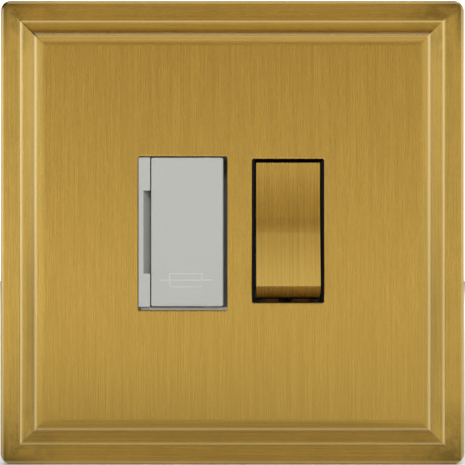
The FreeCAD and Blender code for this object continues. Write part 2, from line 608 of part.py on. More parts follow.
def screw_passages(name):
    """The room that a wide body leaves for the heads of the fixing screws."""
    return [rod(f"{name}_passage_{side}", "y", f"{PANEL_BACK} - Dims.through",
                "Dims.base_depth + Dims.through", (f"{side} * Dims.fixing_centres / 2", "0"),
                "Dims.fixing_head + Dims.slide_gap") for side in (-1, 1)]


def at_pin(point):
    """A point given about the carrier's hinge pin, in the part's own frame."""
    return f"{HINGE_X} + {point[0]}", f"{HINGE_Y} + {point[1]}"


# Front moulding: a shallow tray that carries the deep tub of the fuse carrier, the strip that
# shows beside the door, and the opening for the rocker's bezel. Behind the door's hinged edge
# the tub is closed by a guard that follows the edge's swing.
def front_moulding():
    body = new_body("moulding_body")
    front = f"{PANEL_BACK} + Dims.body_wall"
    ahead = f"{PANEL_BACK} - Dims.through"
    pad(body, "XZ_Plane", PANEL_BACK, YOKE_FRONT, body_outline())
    pocket(body, "XZ_Plane", front, YOKE_FRONT,
           rectangle("0", "0", f"2 * {HOUSING_INNER_X}", f"2 * {HOUSING_INNER_Z}",
                     "Dims.body_corner / 2"))
    for x, z in corners(CLAMP_X, CLAMP_Z):
        pad(body, "XZ_Plane", f"{front} - Dims.overlap", YOKE_FRONT,
            ("circle", x, z, "Dims.clamp_boss"))
        pocket(body, "XZ_Plane", front, YOKE_FRONT,
               ("circle", x, z, "Dims.clamp_radius + Dims.fit_gap"))
    tub_low, tub_high = f"Dims.door_z - {TUB_HALF}", f"Dims.door_z + {TUB_HALF}"
    pad(body, "XZ_Plane", f"{front} - Dims.overlap", f"{TUB_FLOOR} + Dims.tub_wall",
        span(f"{STRIP_RIGHT} - Dims.tub_wall", f"{TUB_RIGHT} + Dims.tub_wall",
             f"Dims.door_z - {TUB_END}", f"Dims.door_z + {TUB_END}"))
    pocket(body, "XZ_Plane", ahead, TUB_FLOOR, span(STRIP_RIGHT, TUB_RIGHT, tub_low, tub_high))
    start = at_pin(polar(DOOR_SWING, "Dims.guard_start"))
    end = at_pin(polar(DOOR_SWING, "Dims.guard_end"))
    buried_x = f"{TUB_RIGHT} + Dims.tub_wall / 2"
    buried_y = f"{TUB_FLOOR} + Dims.tub_wall / 2"
    guard = [start, end + (DOOR_SWING,), (end[0], buried_y), (buried_x, buried_y),
             (buried_x, start[1])]
    pad(body, "XY_Plane", f"{tub_low} - Dims.tub_wall / 2", f"{tub_high} + Dims.tub_wall / 2",
        guard)
    pocket(body, "XZ_Plane", ahead, f"{front} + Dims.through",
           rectangle("Dims.switch_x", "Dims.switch_z", f"2 * ({BEZEL_SIDE} + Dims.fit_gap)",
                     f"2 * ({BEZEL_END} + Dims.fit_gap)"))
    pad(body, "XZ_Plane", DOOR_FACE, f"{PANEL_BACK} + Dims.overlap",
        span(STRIP_LEFT, STRIP_RIGHT, f"Dims.door_z - {DOOR_HALF}", f"Dims.door_z + {DOOR_HALF}"))
    ledge = f"({FUSE_WINDOW_LOW} + Dims.snug_gap)"
    pad(body, "XZ_Plane", f"{PANEL_FACE} + Dims.ledge_recess", f"{PANEL_BACK} + Dims.overlap",
        span(f"{STRIP_LEFT} + Dims.window_corner", "Dims.door_right", ledge,
             f"{ledge} + Dims.ledge_height"))
    bottom = f"{DOOR_FACE} + Dims.notch_depth"
    notch = [(f"{STRIP_RIGHT} - Dims.notch_width", DOOR_FACE),
             (f"{STRIP_RIGHT} + Dims.through", DOOR_FACE),
             (f"{STRIP_RIGHT} + Dims.through", bottom), (STRIP_RIGHT, bottom)]
    pocket(body, "XY_Plane", "Dims.door_z - Dims.notch_height / 2",
           "Dims.door_z + Dims.notch_height / 2", notch)
    bearing = "(Dims.hinge_pin + Dims.fit_gap)"
    pin_room = "(Dims.hinge_pin_reach + Dims.tub_gap)"
    for low, high in ((f"{tub_low} - {pin_room}", f"{tub_low} + Dims.bearing_lead"),
                      (f"{tub_high} - Dims.bearing_lead", f"{tub_high} + {pin_room}")):
        pocket(body, "XY_Plane", low, high, ("circle", HINGE_X, HINGE_Y, bearing))
    pocket(body, "XY_Plane", low, high,
           span(f"{HINGE_X} - {bearing}", f"{HINGE_X} + {bearing}", ahead, HINGE_Y))
    left, right = clip_tail()
    for low, high in ends_of(f"{CLIP_LOW} - Dims.fit_gap",
                             f"{CLIP_LOW} + Dims.clip_width + Dims.fit_gap"):
        pocket(body, "XZ_Plane", f"{TUB_FLOOR} - Dims.through",
               f"{TUB_FLOOR} + Dims.tub_wall + Dims.through",
               span(f"{left} - Dims.fit_gap", f"{right} + Dims.fit_gap", low, high))
    return cut("moulding_shell", body, *screw_passages("moulding"))


def ends_of(low, high):
    """The same stretch at the top and at the bottom of the fuse."""
    yield f"Dims.door_z + ({low})", f"Dims.door_z + ({high})"
    yield f"Dims.door_z - ({high})", f"Dims.door_z - ({low})"


# Rear base: a moulding with a deck for the switch gear in its middle and a deep terminal
# housing above and below, open to the rear recess between them.
def rear_base():
    body = new_body("base_body")
    blank = pad(body, "XZ_Plane", "0", "Dims.base_depth", body_outline())
    soften(body, blank, "Dims.base_edge", lies_at("Y", "Dims.base_depth"))
    inner, behind = f"2 * {HOUSING_INNER_X}", "Dims.base_depth + Dims.through"
    deck_back = f"({DECK_FRONT} + Dims.deck_thickness)"
    pocket(body, "XZ_Plane", deck_back, behind,
           rectangle("0", "0", f"2 * ({BODY_HALF_X} + Dims.through)",
                     f"2 * ({MIDDLE_HALF} - Dims.deck_lap)"))
    pocket(body, "XZ_Plane", "-Dims.through", DECK_FRONT,
           rectangle("0", "0", inner, f"2 * {MIDDLE_HALF}"))
    for sign in ("1", "-1"):
        centre = f"{sign} * ({CHAMBER_EDGE} + {HOUSING_INNER_Z}) / 2"
        pocket(body, "XZ_Plane", "-Dims.through", FLOOR_FRONT,
               rectangle("0", centre, inner, f"{HOUSING_INNER_Z} - {CHAMBER_EDGE}",
                         "Dims.chamber_corner"))
    for x, z in corners(CLAMP_X, CLAMP_Z):
        pad(body, "XZ_Plane", "0", f"{FLOOR_FRONT} + Dims.overlap",
            ("circle", x, z, "Dims.clamp_boss"))
        pocket(body, "XZ_Plane", "-Dims.through", behind,
               ("circle", x, z, "Dims.clamp_radius + Dims.fit_gap"))
        pocket(body, "XZ_Plane", "Dims.base_depth - Dims.clamp_head_depth - Dims.fit_gap",
               behind, ("circle", x, z, "Dims.clamp_head + Dims.fit_gap"))
    for x, sign in TERMINALS.values():
        middle = f"{sign} * {TERMINAL_MIDDLE}"
        pad(body, "XZ_Plane", f"{TERMINAL_BACK} + Dims.terminal_seat",
            f"{FLOOR_FRONT} + Dims.overlap",
            rectangle(x, middle, "Dims.terminal_width - Dims.through",
                      "Dims.terminal_height - Dims.through"))
        pocket(body, "XZ_Plane", TERMINAL_BACK, behind,
               ("circle", x, middle, "Dims.screw_head + Dims.slide_gap"))
        low, high = f"{HOUSING_INNER_Z} - Dims.through", f"{BODY_HALF_Z} + Dims.through"
        if sign < 0:
            low, high = minus(high), minus(low)
        pocket(body, "XY_Plane", low, high, ("circle", x, TERMINAL_BORE_Y, "Dims.wire_hole"))
    return cut("base_shell", body, *screw_passages("base"))


def assembly_screws():
    screws = []
    seat = "Dims.base_depth - Dims.clamp_head_depth"
    tip = f"{PANEL_BACK} + Dims.body_wall + Dims.clamp_tip_gap"
    across, half = "2 * Dims.clamp_head", "Dims.clamp_drive_width / 2"
    for number, (x, z) in enumerate(corners(CLAMP_X, CLAMP_Z), 1):
        shank = rod(f"clamp_shank_{number}", "y", tip, seat, (x, z), "Dims.clamp_radius")
        head = rod(f"clamp_head_{number}", "y", seat, "Dims.base_depth", (x, z),
                   "Dims.clamp_head")
        drive = block(f"clamp_slot_{number}", (f"{x} - {across}", f"{x} + {across}"),
                      ("Dims.base_depth - Dims.clamp_drive_depth",
                       "Dims.base_depth + Dims.through"),
                      (f"{z} - {half}", f"{z} + {half}"))
        screws.append(cut(f"clamp_screw_{number}", fuse(f"clamp_{number}", shank, head), drive))
    return group("clamp_screw_set", *screws)


# Rocker bezel: a well open at front and back, with a thin collar that lines the plate's window
# at each side and the bores for the pivot pin.
def rocker_bezel():
    body = new_body("bezel_body", ("Dims.switch_x", "0", "Dims.switch_z"))
    pad(body, "XZ_Plane", PANEL_BACK, "Dims.bezel_back",
        rectangle("0", "0", f"2 * {BEZEL_SIDE}", f"2 * {BEZEL_END}", "Dims.bezel_corner"),
        rectangle("0", "0", f"2 * {BEZEL_INNER}", f"2 * {BEZEL_HALF}"))
    for sign in ("-1", "1"):
        centre = f"{sign} * ({BEZEL_INNER} + Dims.collar_wall / 2)"
        pad(body, "XZ_Plane", PANEL_FACE, f"{PANEL_BACK} + Dims.overlap",
            rectangle(centre, "0", "Dims.collar_wall",
                      f"2 * ({SWITCH_WINDOW_HALF} - Dims.window_corner)"))
    pocket(body, "YZ_Plane", f"0 - {BEZEL_SIDE} - Dims.through", f"{BEZEL_SIDE} + Dims.through",
           ("circle", PIVOT_Y, "0", "Dims.pivot_radius + Dims.pivot_press"))
    return body


def rocker_outline(inset, back):
    """The rocker's section about its pivot: a face dished by three arcs, and two round ends."""
    radius = f"({ROCKER_RADIUS} - {inset})"
    reach = f"(Dims.rocker_reach - {inset})"
    end = f"sqrt({radius} ^ 2 - {reach} ^ 2)"
    root = f"sqrt({radius} ^ 2 - ({back}) ^ 2)"
    dished = minus(f"{reach} - {DISH_DEPTH}")
    outer, middle = "-Dims.dish_end_radius", "-Dims.dish_middle_radius"
    return [
        (minus(back), root), (minus(reach), end, radius),
        (dished, "Dims.dish_half", outer), (dished, "-Dims.dish_half", middle),
        (minus(reach), minus(end), outer), (minus(back), minus(root), radius),
    ]


def on_rocker(label):
    return new_body(label, ("Dims.switch_x", PIVOT_Y, "Dims.switch_z"), V(-1, 0, 0),
                    "Dims.rocker_tilt")


def rocker_cap():
    body = on_rocker("cap_body")
    half = "Dims.rocker_width / 2"
    pad(body, "YZ_Plane", minus(half), half, rocker_outline("0", "Dims.rocker_return"))
    side = f"({half} - Dims.cap_wall)"
    pocket(body, "YZ_Plane", minus(side), side,
           rocker_outline("Dims.cap_wall", "Dims.rocker_return - Dims.through"))
    return body


def rocker_body():
    body = on_rocker("rocker_core")
    inset = "(Dims.cap_wall + Dims.snug_gap)"
    half = f"(Dims.rocker_width / 2 - {inset})"
    pad(body, "YZ_Plane", minus(half), half, rocker_outline(inset, "Dims.rocker_back"))
    room = f"({half} - Dims.rocker_wall)"
    pocket(body, "YZ_Plane", minus(room), room,
           rocker_outline(f"({inset} + Dims.rocker_wall)", "Dims.rocker_back - Dims.through"))
    ear = [("-Dims.ear_front", "-Dims.ear_half"), ("0", "-Dims.rocker_hub"),
           ("Dims.rocker_hub", "0", "Dims.rocker_hub"),
           ("0", "Dims.rocker_hub", "Dims.rocker_hub"), ("-Dims.ear_front", "Dims.ear_half")]
    for left in (minus(half), room):
        pad(body, "YZ_Plane", left, f"{left} + Dims.rocker_wall", ear)
    pad(body, "YZ_Plane", minus(half), half, ("circle", "0", "0", "Dims.rocker_hub"))
    web_front = f"-Dims.rocker_reach + Dims.rocker_wall + {DISH_DEPTH}"
    pad(body, "YZ_Plane", minus(half), half,
        span(web_front, "0", "-Dims.web_half", "Dims.web_half"))
    sleeve_end = "(Dims.plunger_reach - Dims.sleeve_short)"
    for side in POLES.values():
        x = f"{side} * Dims.pole_spacing / 2"
        pad(body, "XZ_Plane", "0", sleeve_end, ("circle", x, "0", "Dims.plunger_sleeve"))
        pocket(body, "XZ_Plane", "Dims.sleeve_floor", f"{sleeve_end} + Dims.through",
               ("circle", x, "0", "Dims.plunger_radius + Dims.fit_gap"))
    pocket(body, "YZ_Plane", f"0 - {half} - Dims.through", f"{half} + Dims.through",
           ("circle", "0", "0", "Dims.pivot_radius + Dims.fit_gap"))
    return body


def rocker_pivot_pin():
    half = f"({BEZEL_SIDE} - Dims.fit_gap)"
    pin = rod("pivot_bar", "x", f"Dims.switch_x - {half}", f"Dims.switch_x + {half}",
              (PIVOT_Y, "Dims.switch_z"), "Dims.pivot_radius")
    return group("pivot_pin", pin)


def plunger(pole):
    body = on_rocker(f"plunger_body_{pole}")
    x = f"{POLES[pole]} * Dims.pole_spacing / 2"
    start = "(Dims.plunger_reach - Dims.plunger_length)"
    shank = pad(body, "XZ_Plane", start, "Dims.plunger_reach",
                ("circle", x, "0", "Dims.plunger_radius"))
    soften(body, shank, "Dims.plunger_nose", lies_at("Y", "Dims.plunger_reach"))
    return body


def plunger_spring(pole):
    """The coil between the bottom of the sleeve and the plunger, as one closed sleeve."""
    body = on_rocker(f"spring_body_{pole}")
    x = f"{POLES[pole]} * Dims.pole_spacing / 2"
    pad(body, "XZ_Plane", "Dims.sleeve_floor + Dims.fit_gap",
        "Dims.plunger_reach - Dims.plunger_length - Dims.snug_gap",
        ("circle", x, "0", "Dims.plunger_radius"),
        ("circle", x, "0", "Dims.plunger_radius - 2 * Dims.spring_wire"))
    return body


# Switch gear: each pole is a bent blade that rocks on a bracket and meets a fixed contact at
# its upper end. A blade's two arms lean forward by the rocker's own tilt, so that the closed
# arm stands square to the fixed contact.
def blade_point(along, off):
    """A point of the upper arm, by its distance from the bend and from the back surface."""
    lean, upright = sine("Dims.rocker_tilt"), cosine("Dims.rocker_tilt")
    return (f"(0 - ({along}) * {lean} - ({off}) * {upright})",
            f"(({along}) * {upright} - ({off}) * {lean})")


def moving_contact(pole):
    body = new_body(f"blade_body_{pole}", (POLE_X[pole], BLADE_Y, "Dims.switch_z"), V(1, 0, 0),
                    "Dims.rocker_tilt")
    thick = "Dims.blade_thickness"
    bend = f"{thick} / {cosine('Dims.rocker_tilt')}"
    tail_front = blade_point("Dims.blade_tail", thick)
    tail_back = blade_point("Dims.blade_tail", "0")
    outline = [
        (tail_back[0], minus(tail_back[1])), (tail_front[0], minus(tail_front[1])),
        (minus(bend), "0"), blade_point("Dims.blade_arm", thick),
        blade_point("Dims.blade_arm", "0"), ("0", "0"),
    ]
    half = "Dims.blade_width / 2"
    pad(body, "YZ_Plane", minus(half), half, outline)
    return body


def tip_disc(body, low, high):
    """A round silver tip near the end of the arm."""
    pad(body, "XZ_Plane", low, high,
        ("circle", "0", "Dims.blade_arm - Dims.tip_radius", "Dims.tip_radius"))
    return body


def moving_tip(pole):
    """The tip stands on the blade's back, square to the closed arm."""
    body = new_body(f"moving_tip_body_{pole}", (POLE_X[pole], BLADE_Y, "Dims.switch_z"),
                    V(1, 0, 0), "2 * Dims.rocker_tilt")
    return tip_disc(body, "0", "Dims.tip_height")


def fixed_tip(pole):
    body = new_body(f"fixed_tip_body_{pole}", (POLE_X[pole], "0", "Dims.switch_z"))
    return tip_disc(body, f"{STRIP_FRONT} - Dims.tip_height", STRIP_FRONT)


def fixed_contact(pole):
    """The neutral strip runs up to its terminal, and the line strip across to the fuse clip."""
    body = new_body(f"fixed_contact_body_{pole}", ("0", "0", "Dims.switch_z"))
    left = f"{POLE_X[pole]} - Dims.blade_width / 2"
    right = f"{POLE_X[pole]} + Dims.blade_width / 2"
    low = "(Dims.blade_arm - 2 * Dims.tip_radius - Dims.contact_low)"
    high = "(Dims.blade_arm + Dims.contact_high)"
    pad(body, "XZ_Plane", STRIP_FRONT, STRIP_BACK, span(left, right, low, high))
    if pole == "neutral":
        limb = span(left, right, f"{high} - Dims.overlap",
                    f"({MIDDLE_HALF} - Dims.contact_end_gap)")
    else:
        limb = span(f"{clip_tail()[0]} - Dims.contact_end_gap", f"{left} + Dims.overlap",
                    f"{high} - Dims.contact_bridge", high)
    pad(body, "XZ_Plane", STRIP_FRONT, STRIP_BACK, limb)
    return body


def fulcrum(pole):
    """A bracket with a ridge behind the bend, two cheeks beside the blade and a tail below."""
    body = new_body(f"fulcrum_body_{pole}", (POLE_X[pole], "0", "Dims.switch_z"))
    cheek_in = "(Dims.blade_width / 2 + Dims.fulcrum_gap)"
    cheek_out = f"({cheek_in} + Dims.fulcrum_cheek)"
    pad(body, "XZ_Plane", STRIP_FRONT, STRIP_BACK,
        span(minus(cheek_out), cheek_out, "-Dims.fulcrum_half", "Dims.fulcrum_half"))
    root = f"{STRIP_FRONT} + Dims.fulcrum_gap"
    for low, high in ((minus(cheek_out), minus(cheek_in)), (cheek_in, cheek_out)):
        pad(body, "XZ_Plane", f"{BLADE_Y} - Dims.fulcrum_cheek_half", root,
            span(low, high, "-Dims.fulcrum_cheek_half", "Dims.fulcrum_cheek_half"))
    crest = f"{BLADE_Y} + Dims.fit_gap + Dims.fulcrum_ridge_half"
    ridge = [(root, "Dims.fulcrum_root_half"), (crest, "Dims.fulcrum_ridge_half"),
             (crest, "-Dims.fulcrum_ridge_half", "Dims.fulcrum_ridge_radius"),
             (root, "-Dims.fulcrum_root_half")]
    pad(body, "YZ_Plane", minus(cheek_in), cheek_in, ridge)
    tail_half = "Dims.blade_width / 2"
    pad(body, "XZ_Plane", STRIP_FRONT, STRIP_BACK,
        span(minus(tail_half), tail_half, f"Dims.fulcrum_end_gap - {MIDDLE_HALF}",
             "Dims.overlap - Dims.fulcrum_half"))
    return body


# Fuse carrier: a door on two integral pins near its right edge, with a cradle for the fuse
# behind it. All of it behind the door keeps within an arc about the hinge.
def at_hinge(label):
    return new_body(label, (HINGE_X, HINGE_Y, "Dims.door_z"))


def fuse_carrier():
    body = at_hinge("carrier_body")
    right, left = "Dims.hinge_inset", minus(CARRIER_RADIUS)
    face, back = "-Dims.hinge_behind", "(Dims.door_thickness - Dims.hinge_behind)"
    slab = pad(body, "XZ_Plane", face, back,
               span(left, right, minus(DOOR_HALF), DOOR_HALF, "Dims.door_corner"))
    soften(body, slab, "Dims.door_edge", lies_at("Y", face))
    boss = f"({DOOR_HALF} - Dims.fit_gap)"
    pad(body, "XY_Plane", minus(boss), boss, ("circle", "0", "0", "Dims.hinge_boss"))
    cradle = work_out("cradle_half",
                      "Dims.fuse_length / 2 - Dims.fuse_cap_length - 2 * Dims.clip_gap")
    doc.recompute()
    rim = minus(f"sqrt({CARRIER_RADIUS} ^ 2 - {back} ^ 2)")
    buried = f"{back} - Dims.overlap"
    sector = [("0", buried), ("Dims.cheek_heel", "Dims.cheek_heel_back"),
              polar(CARRIER_RADIUS, "Dims.cheek_end_angle"), (rim, back, CARRIER_RADIUS),
              (rim, buried)]
    cheek_outer = f"({CHEEK_INNER} + Dims.cheek_thickness)"
    for low, high in ((CHEEK_INNER, cheek_outer), (minus(cheek_outer), minus(CHEEK_INNER)),
                      (minus(cradle), cradle)):
        pad(body, "XY_Plane", low, high, sector)
    room = "(Dims.fuse_tube_radius + Dims.clip_gap)"
    past = f"({cradle} + Dims.fit_gap)"
    pocket(body, "XY_Plane", minus(past), past,
           ("circle", "-Dims.fuse_side", "Dims.fuse_behind", room))
    pocket(body, "XY_Plane", minus(past), past,
           span(f"-Dims.fuse_side - {room}", f"-Dims.fuse_side + {room}", "Dims.fuse_behind",
                f"{CARRIER_RADIUS} + Dims.through"))
    pin_low = f"({CHEEK_INNER} + Dims.cheek_thickness / 2)"
    pin_high = f"({TUB_HALF} + Dims.hinge_pin_reach)"
    for low, high in ((pin_low, pin_high), (minus(pin_high), minus(pin_low))):
        pad(body, "XY_Plane", low, high, ("circle", "0", "0", "Dims.hinge_pin"))
    return body


def fuse_spot():
    return f"{HINGE_X} - Dims.fuse_side", f"{HINGE_Y} + Dims.fuse_behind"


def fuse_tube():
    half = "(Dims.fuse_length / 2 - Dims.fuse_cap_wall - Dims.snug_gap)"
    tube = rod("ceramic_tube", "z", f"Dims.door_z - {half}", f"Dims.door_z + {half}",
               fuse_spot(), "Dims.fuse_tube_radius")
    return group("tube", tube)


def fuse_cap(end):
    body = new_body(f"cap_{end}_body", (*fuse_spot(), "Dims.door_z"))
    outer, mouth = "Dims.fuse_length / 2", "(Dims.fuse_length / 2 - Dims.fuse_cap_length)"
    floor, past = "(Dims.fuse_length / 2 - Dims.fuse_cap_wall)", f"({mouth} - Dims.through)"
    low, high, hollow_low, hollow_high = mouth, outer, past, floor
    if end == "bottom":
        low, high = minus(outer), minus(mouth)
        hollow_low, hollow_high = minus(floor), minus(past)
    shell = pad(body, "XY_Plane", low, high, ("circle", "0", "0", "Dims.fuse_radius"))
    soften(body, shell, "Dims.fuse_cap_round", lies_at("Z", high if end == "top" else low))
    pocket(body, "XY_Plane", hollow_low, hollow_high,
           ("circle", "0", "0", "Dims.fuse_tube_radius + Dims.snug_gap"))
    return body


def clip_tail():
    """The left and right faces of a fuse clip's tail, where it passes through the tub."""
    right = f"({HINGE_X} + {CARRIER_RADIUS} * cos({CLIP_FROM} * 1deg))"
    return f"({right} - Dims.clip_thickness)", right


def fuse_clip(end):
    """Two jaws round the cap, bent about the hinge so that the cap swings out between them."""
    body = at_hinge(f"clip_{end}_body")
    low, high = CLIP_LOW, f"({CLIP_LOW} + Dims.clip_width)"
    if end == "bottom":
        low, high = minus(high), minus(low)
    inside, outside = f"({FUSE_SWING} - {FUSE_GRIP})", f"({FUSE_SWING} + {FUSE_GRIP})"
    least = f"({inside} - Dims.clip_thickness)"
    blank = [polar(least, CLIP_FROM) + (minus(least),), polar(CARRIER_RADIUS, CLIP_FROM),
             polar(CARRIER_RADIUS, CLIP_TO) + (CARRIER_RADIUS,), polar(least, CLIP_TO)]
    pad(body, "XY_Plane", low, high, blank)
    lip = f"{CLIP_TO} + Dims.clip_lip_angle"
    hollow = [polar(inside, HOLLOW_FROM) + (minus(inside),), polar(outside, HOLLOW_FROM),
              polar(outside, lip) + (outside,), polar(inside, lip)]
    pocket(body, "XY_Plane", f"{low} - Dims.fit_gap", f"{high} + Dims.fit_gap", hollow)
    root = polar(CARRIER_RADIUS, CLIP_FROM)
    pad(body, "XY_Plane", low, high,
        span(f"{root[0]} - Dims.clip_thickness", root[0], f"{root[1]} - Dims.clip_root",
             f"({STRIP_FRONT} - Dims.fit_gap - {HINGE_Y})"))
    return body


# Terminals: brass blocks with a bore for the wire and a clamp screw worked from the rear.
def terminal(name):
    x, sign = TERMINALS[name]
    body = new_body(f"{name}_body")
    low, high = TERMINAL_LOW, TERMINAL_HIGH
    if sign < 0:
        low, high = minus(TERMINAL_HIGH), minus(TERMINAL_LOW)
    middle = f"{sign} * {TERMINAL_MIDDLE}"
    solid = pad(body, "XZ_Plane", TERMINAL_FRONT, TERMINAL_BACK,
                rectangle(x, middle, "Dims.terminal_width", "Dims.terminal_height"))
    soften(body, solid, "Dims.terminal_edge", lies_at("Y", TERMINAL_FRONT), "Chamfer")
    pocket(body, "XY_Plane", f"{low} - Dims.through", f"{high} + Dims.through",
           ("circle", x, TERMINAL_BORE_Y, "Dims.terminal_bore"))
    pocket(body, "XZ_Plane", TERMINAL_BORE_Y, f"{TERMINAL_BACK} + Dims.through",
           ("circle", x, middle, "Dims.screw_radius + Dims.snug_gap"))
    return body


def terminal_screws():
    screws = []
    tip = f"{TERMINAL_BORE_Y} + Dims.terminal_bore + Dims.fit_gap"
    seat, top = f"{TERMINAL_BACK} + Dims.fit_gap", "Dims.base_depth - Dims.screw_sunk"
    across, half = "2 * Dims.screw_head", "Dims.drive_width / 2"
    for name, (x, sign) in TERMINALS.items():
        z = f"{sign} * {TERMINAL_MIDDLE}"
        shank = rod(f"{name}_shank", "y", tip, seat, (x, z), "Dims.screw_radius")
        head = rod(f"{name}_head", "y", seat, top, (x, z), "Dims.screw_head")
        slot = block(f"{name}_slot", (f"{x} - {across}", f"{x} + {across}"),
                     (f"{top} - Dims.drive_depth", f"{top} + Dims.through"),
                     (f"{z} - {half}", f"{z} + {half}"))
        screws.append(cut(f"{name}_screw", fuse(f"{name}_pin", shank, head), slot))
    return group("terminal_screw_set", *screws)


def earth_strap():
    """A bar along both earth blocks, with a limb forward to the back of the yoke."""
    body = new_body("strap_body")
    thick = "Dims.strap_thickness"
    back = f"({TERMINAL_FRONT} - Dims.fit_gap)"
    front = f"({back} - {thick})"
    left = f"(0 - {TERMINAL_REACH} - Dims.terminal_width / 2)"
    low = f"({TERMINAL_LOW} + Dims.strap_low)"
    high = f"({low} + Dims.strap_width)"
    pad(body, "XZ_Plane", front, back, span(left, "Dims.terminal_width / 2", low, high))
    pad(body, "XZ_Plane", "Dims.fit_gap", f"{front} + {thick} / 2",
        span(left, f"{left} + Dims.strap_limb", f"{high} - {thick}", high))
    pad(body, "XZ_Plane", "Dims.fit_gap", f"Dims.fit_gap + {thick}",
        span(left, f"{left} + Dims.strap_limb", f"{high} - {thick}", f"{high} + Dims.strap_foot"))
    return body


def earth_spring():
    """A leaf on the yoke that bears on the back of the brass panel and earths it."""
    side = f"{LINER_HALF} - Dims.liner_side_bar - Dims.slide_gap - Dims.leaf_width / 2"
    body = new_body("leaf_body", (minus(side), "0", "-Dims.leaf_drop"))
    thick = "Dims.leaf_thickness"
    foot, top = f"({YOKE_FRONT} - {thick})", f"({PANEL_BACK} + Dims.snug_gap)"
    leaf = [
        (f"{top} + Dims.leaf_step + {thick}", "Dims.leaf_rise + Dims.leaf_fold"),
        (f"{top} + {thick}", "Dims.leaf_crest + Dims.leaf_fold"),
        (f"{top} + {thick}", "Dims.leaf_tip"), (top, "Dims.leaf_tip"),
        (top, "Dims.leaf_crest"), (f"{top} + Dims.leaf_step", "Dims.leaf_rise"),
        (foot, "-Dims.leaf_bend"), (foot, "-Dims.leaf_foot"), (YOKE_FRONT, "-Dims.leaf_foot"),
        (YOKE_FRONT, f"{thick} - Dims.leaf_bend"),
    ]
    half = "Dims.leaf_width / 2"
    pad(body, "YZ_Plane", minus(half), half, leaf)
    return body


SUB_PARTS = [
    front_plate, plate_liner, mounting_yoke, fixing_screws, front_moulding, rear_base,
    assembly_screws, rocker_bezel, rocker_cap, rocker_body, rocker_pivot_pin, fuse_carrier,
    fuse_tube, terminal_screws, earth_strap, earth_spring,
]
finished = {make.__name__: make() for make in SUB_PARTS}
for make in (plunger, plunger_spring, moving_contact, moving_tip, fixed_contact, fixed_tip,
             fulcrum):
    for pole in POLES:
        finished[f"{make.__name__}_{pole}"] = make(pole)
for make in (fuse_cap, fuse_clip):
    for end in ("top", "bottom"):
        finished[f"{make.__name__}_{end}"] = make(end)
for name in TERMINALS:
    finished[name] = terminal(name)
doc.recompute()

for name, item in finished.items():
    item.Label = name
failed = [item.Label for item in doc.Objects if {"Invalid", "Error"} & set(item.State)]
failed += [name for name, item in finished.items()
           if item.Shape.isNull() or not item.Shape.isValid() or not item.Shape.Solids]
if failed:
    raise RuntimeError(f"failed: {failed}")

os.makedirs("parts", exist_ok=True)
for name, item in finished.items():
    item.Shape.exportStep(f"parts/{name}.step")
    print(name, len(item.Shape.Solids), round(item.Shape.Volume, 1))
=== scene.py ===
import math

import bmesh
import bpy
from mathutils import Matrix, Vector


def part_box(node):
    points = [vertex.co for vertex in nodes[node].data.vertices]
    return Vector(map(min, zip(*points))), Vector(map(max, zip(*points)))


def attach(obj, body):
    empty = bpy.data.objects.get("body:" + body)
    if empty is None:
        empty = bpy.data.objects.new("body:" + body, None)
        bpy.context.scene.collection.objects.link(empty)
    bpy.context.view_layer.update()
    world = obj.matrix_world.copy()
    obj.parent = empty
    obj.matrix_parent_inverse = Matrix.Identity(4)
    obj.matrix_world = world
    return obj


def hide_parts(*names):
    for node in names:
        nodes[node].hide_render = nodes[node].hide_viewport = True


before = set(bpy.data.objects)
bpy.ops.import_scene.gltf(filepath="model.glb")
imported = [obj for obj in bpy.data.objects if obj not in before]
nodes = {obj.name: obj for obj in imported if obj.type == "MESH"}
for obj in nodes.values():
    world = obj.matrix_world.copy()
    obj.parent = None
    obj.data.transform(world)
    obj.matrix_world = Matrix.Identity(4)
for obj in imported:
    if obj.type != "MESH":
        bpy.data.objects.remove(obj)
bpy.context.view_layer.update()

# The rear base is one thick white urea moulding that carries the terminals and the
# contacts. Its skin is a little glossy from the tool, and its walls show faint flow marks.
# The assembly screws clamp it against the yoke.


def add_node(tree, kind, values=None, **settings):
    made = tree.nodes.new(kind)
    for name, value in settings.items():
        setattr(made, name, value)
    for name, value in (values or {}).items():
        if isinstance(value, bpy.types.NodeSocket):
            tree.links.new(value, made.inputs[name])
        else:
            made.inputs[name].default_value = value
    return made


def new_finish(name, **fixed):
    """A material with one shader, whose same-everywhere values are set on its own sockets."""
    material = bpy.data.materials.new(name)
    material.use_nodes = True
    tree = material.node_tree
    shader = tree.nodes["Principled BSDF"]
    for socket, value in fixed.items():
        shader.inputs[socket.replace("_", " ")].default_value = value
    place = add_node(tree, "ShaderNodeTexCoord").outputs["Object"]
    return material, tree, shader, place


def mix_colours(tree, share, first, second):
    mix = add_node(tree, "ShaderNodeMix", data_type="RGBA")
    tree.links.new(share, mix.inputs[0])
    for socket, colour in ((mix.inputs[6], first), (mix.inputs[7], second)):
        if isinstance(colour, bpy.types.NodeSocket):
            tree.links.new(colour, socket)
        else:
            socket.default_value = (*colour, 1)
    return mix.outputs[2]


def vary_roughness(tree, shader, factor, low, high):
    spread = add_node(tree, "ShaderNodeMapRange",
                      {"Value": factor, "To Min": low, "To Max": high})
    tree.links.new(spread.outputs["Result"], shader.inputs["Roughness"])


def raise_bump(tree, shader, height, strength, distance):
    bump = add_node(tree, "ShaderNodeBump",
                    {"Height": height, "Strength": strength, "Distance": distance})
    tree.links.new(bump.outputs["Normal"], shader.inputs["Normal"])


CLOUDS_PER_METRE, GRAINS_PER_METRE = 55.0, 4200.0
GRAIN_SHARE, GRAIN_DEPTH = 0.8, 0.00002
CLOUD_TINT = 0.05


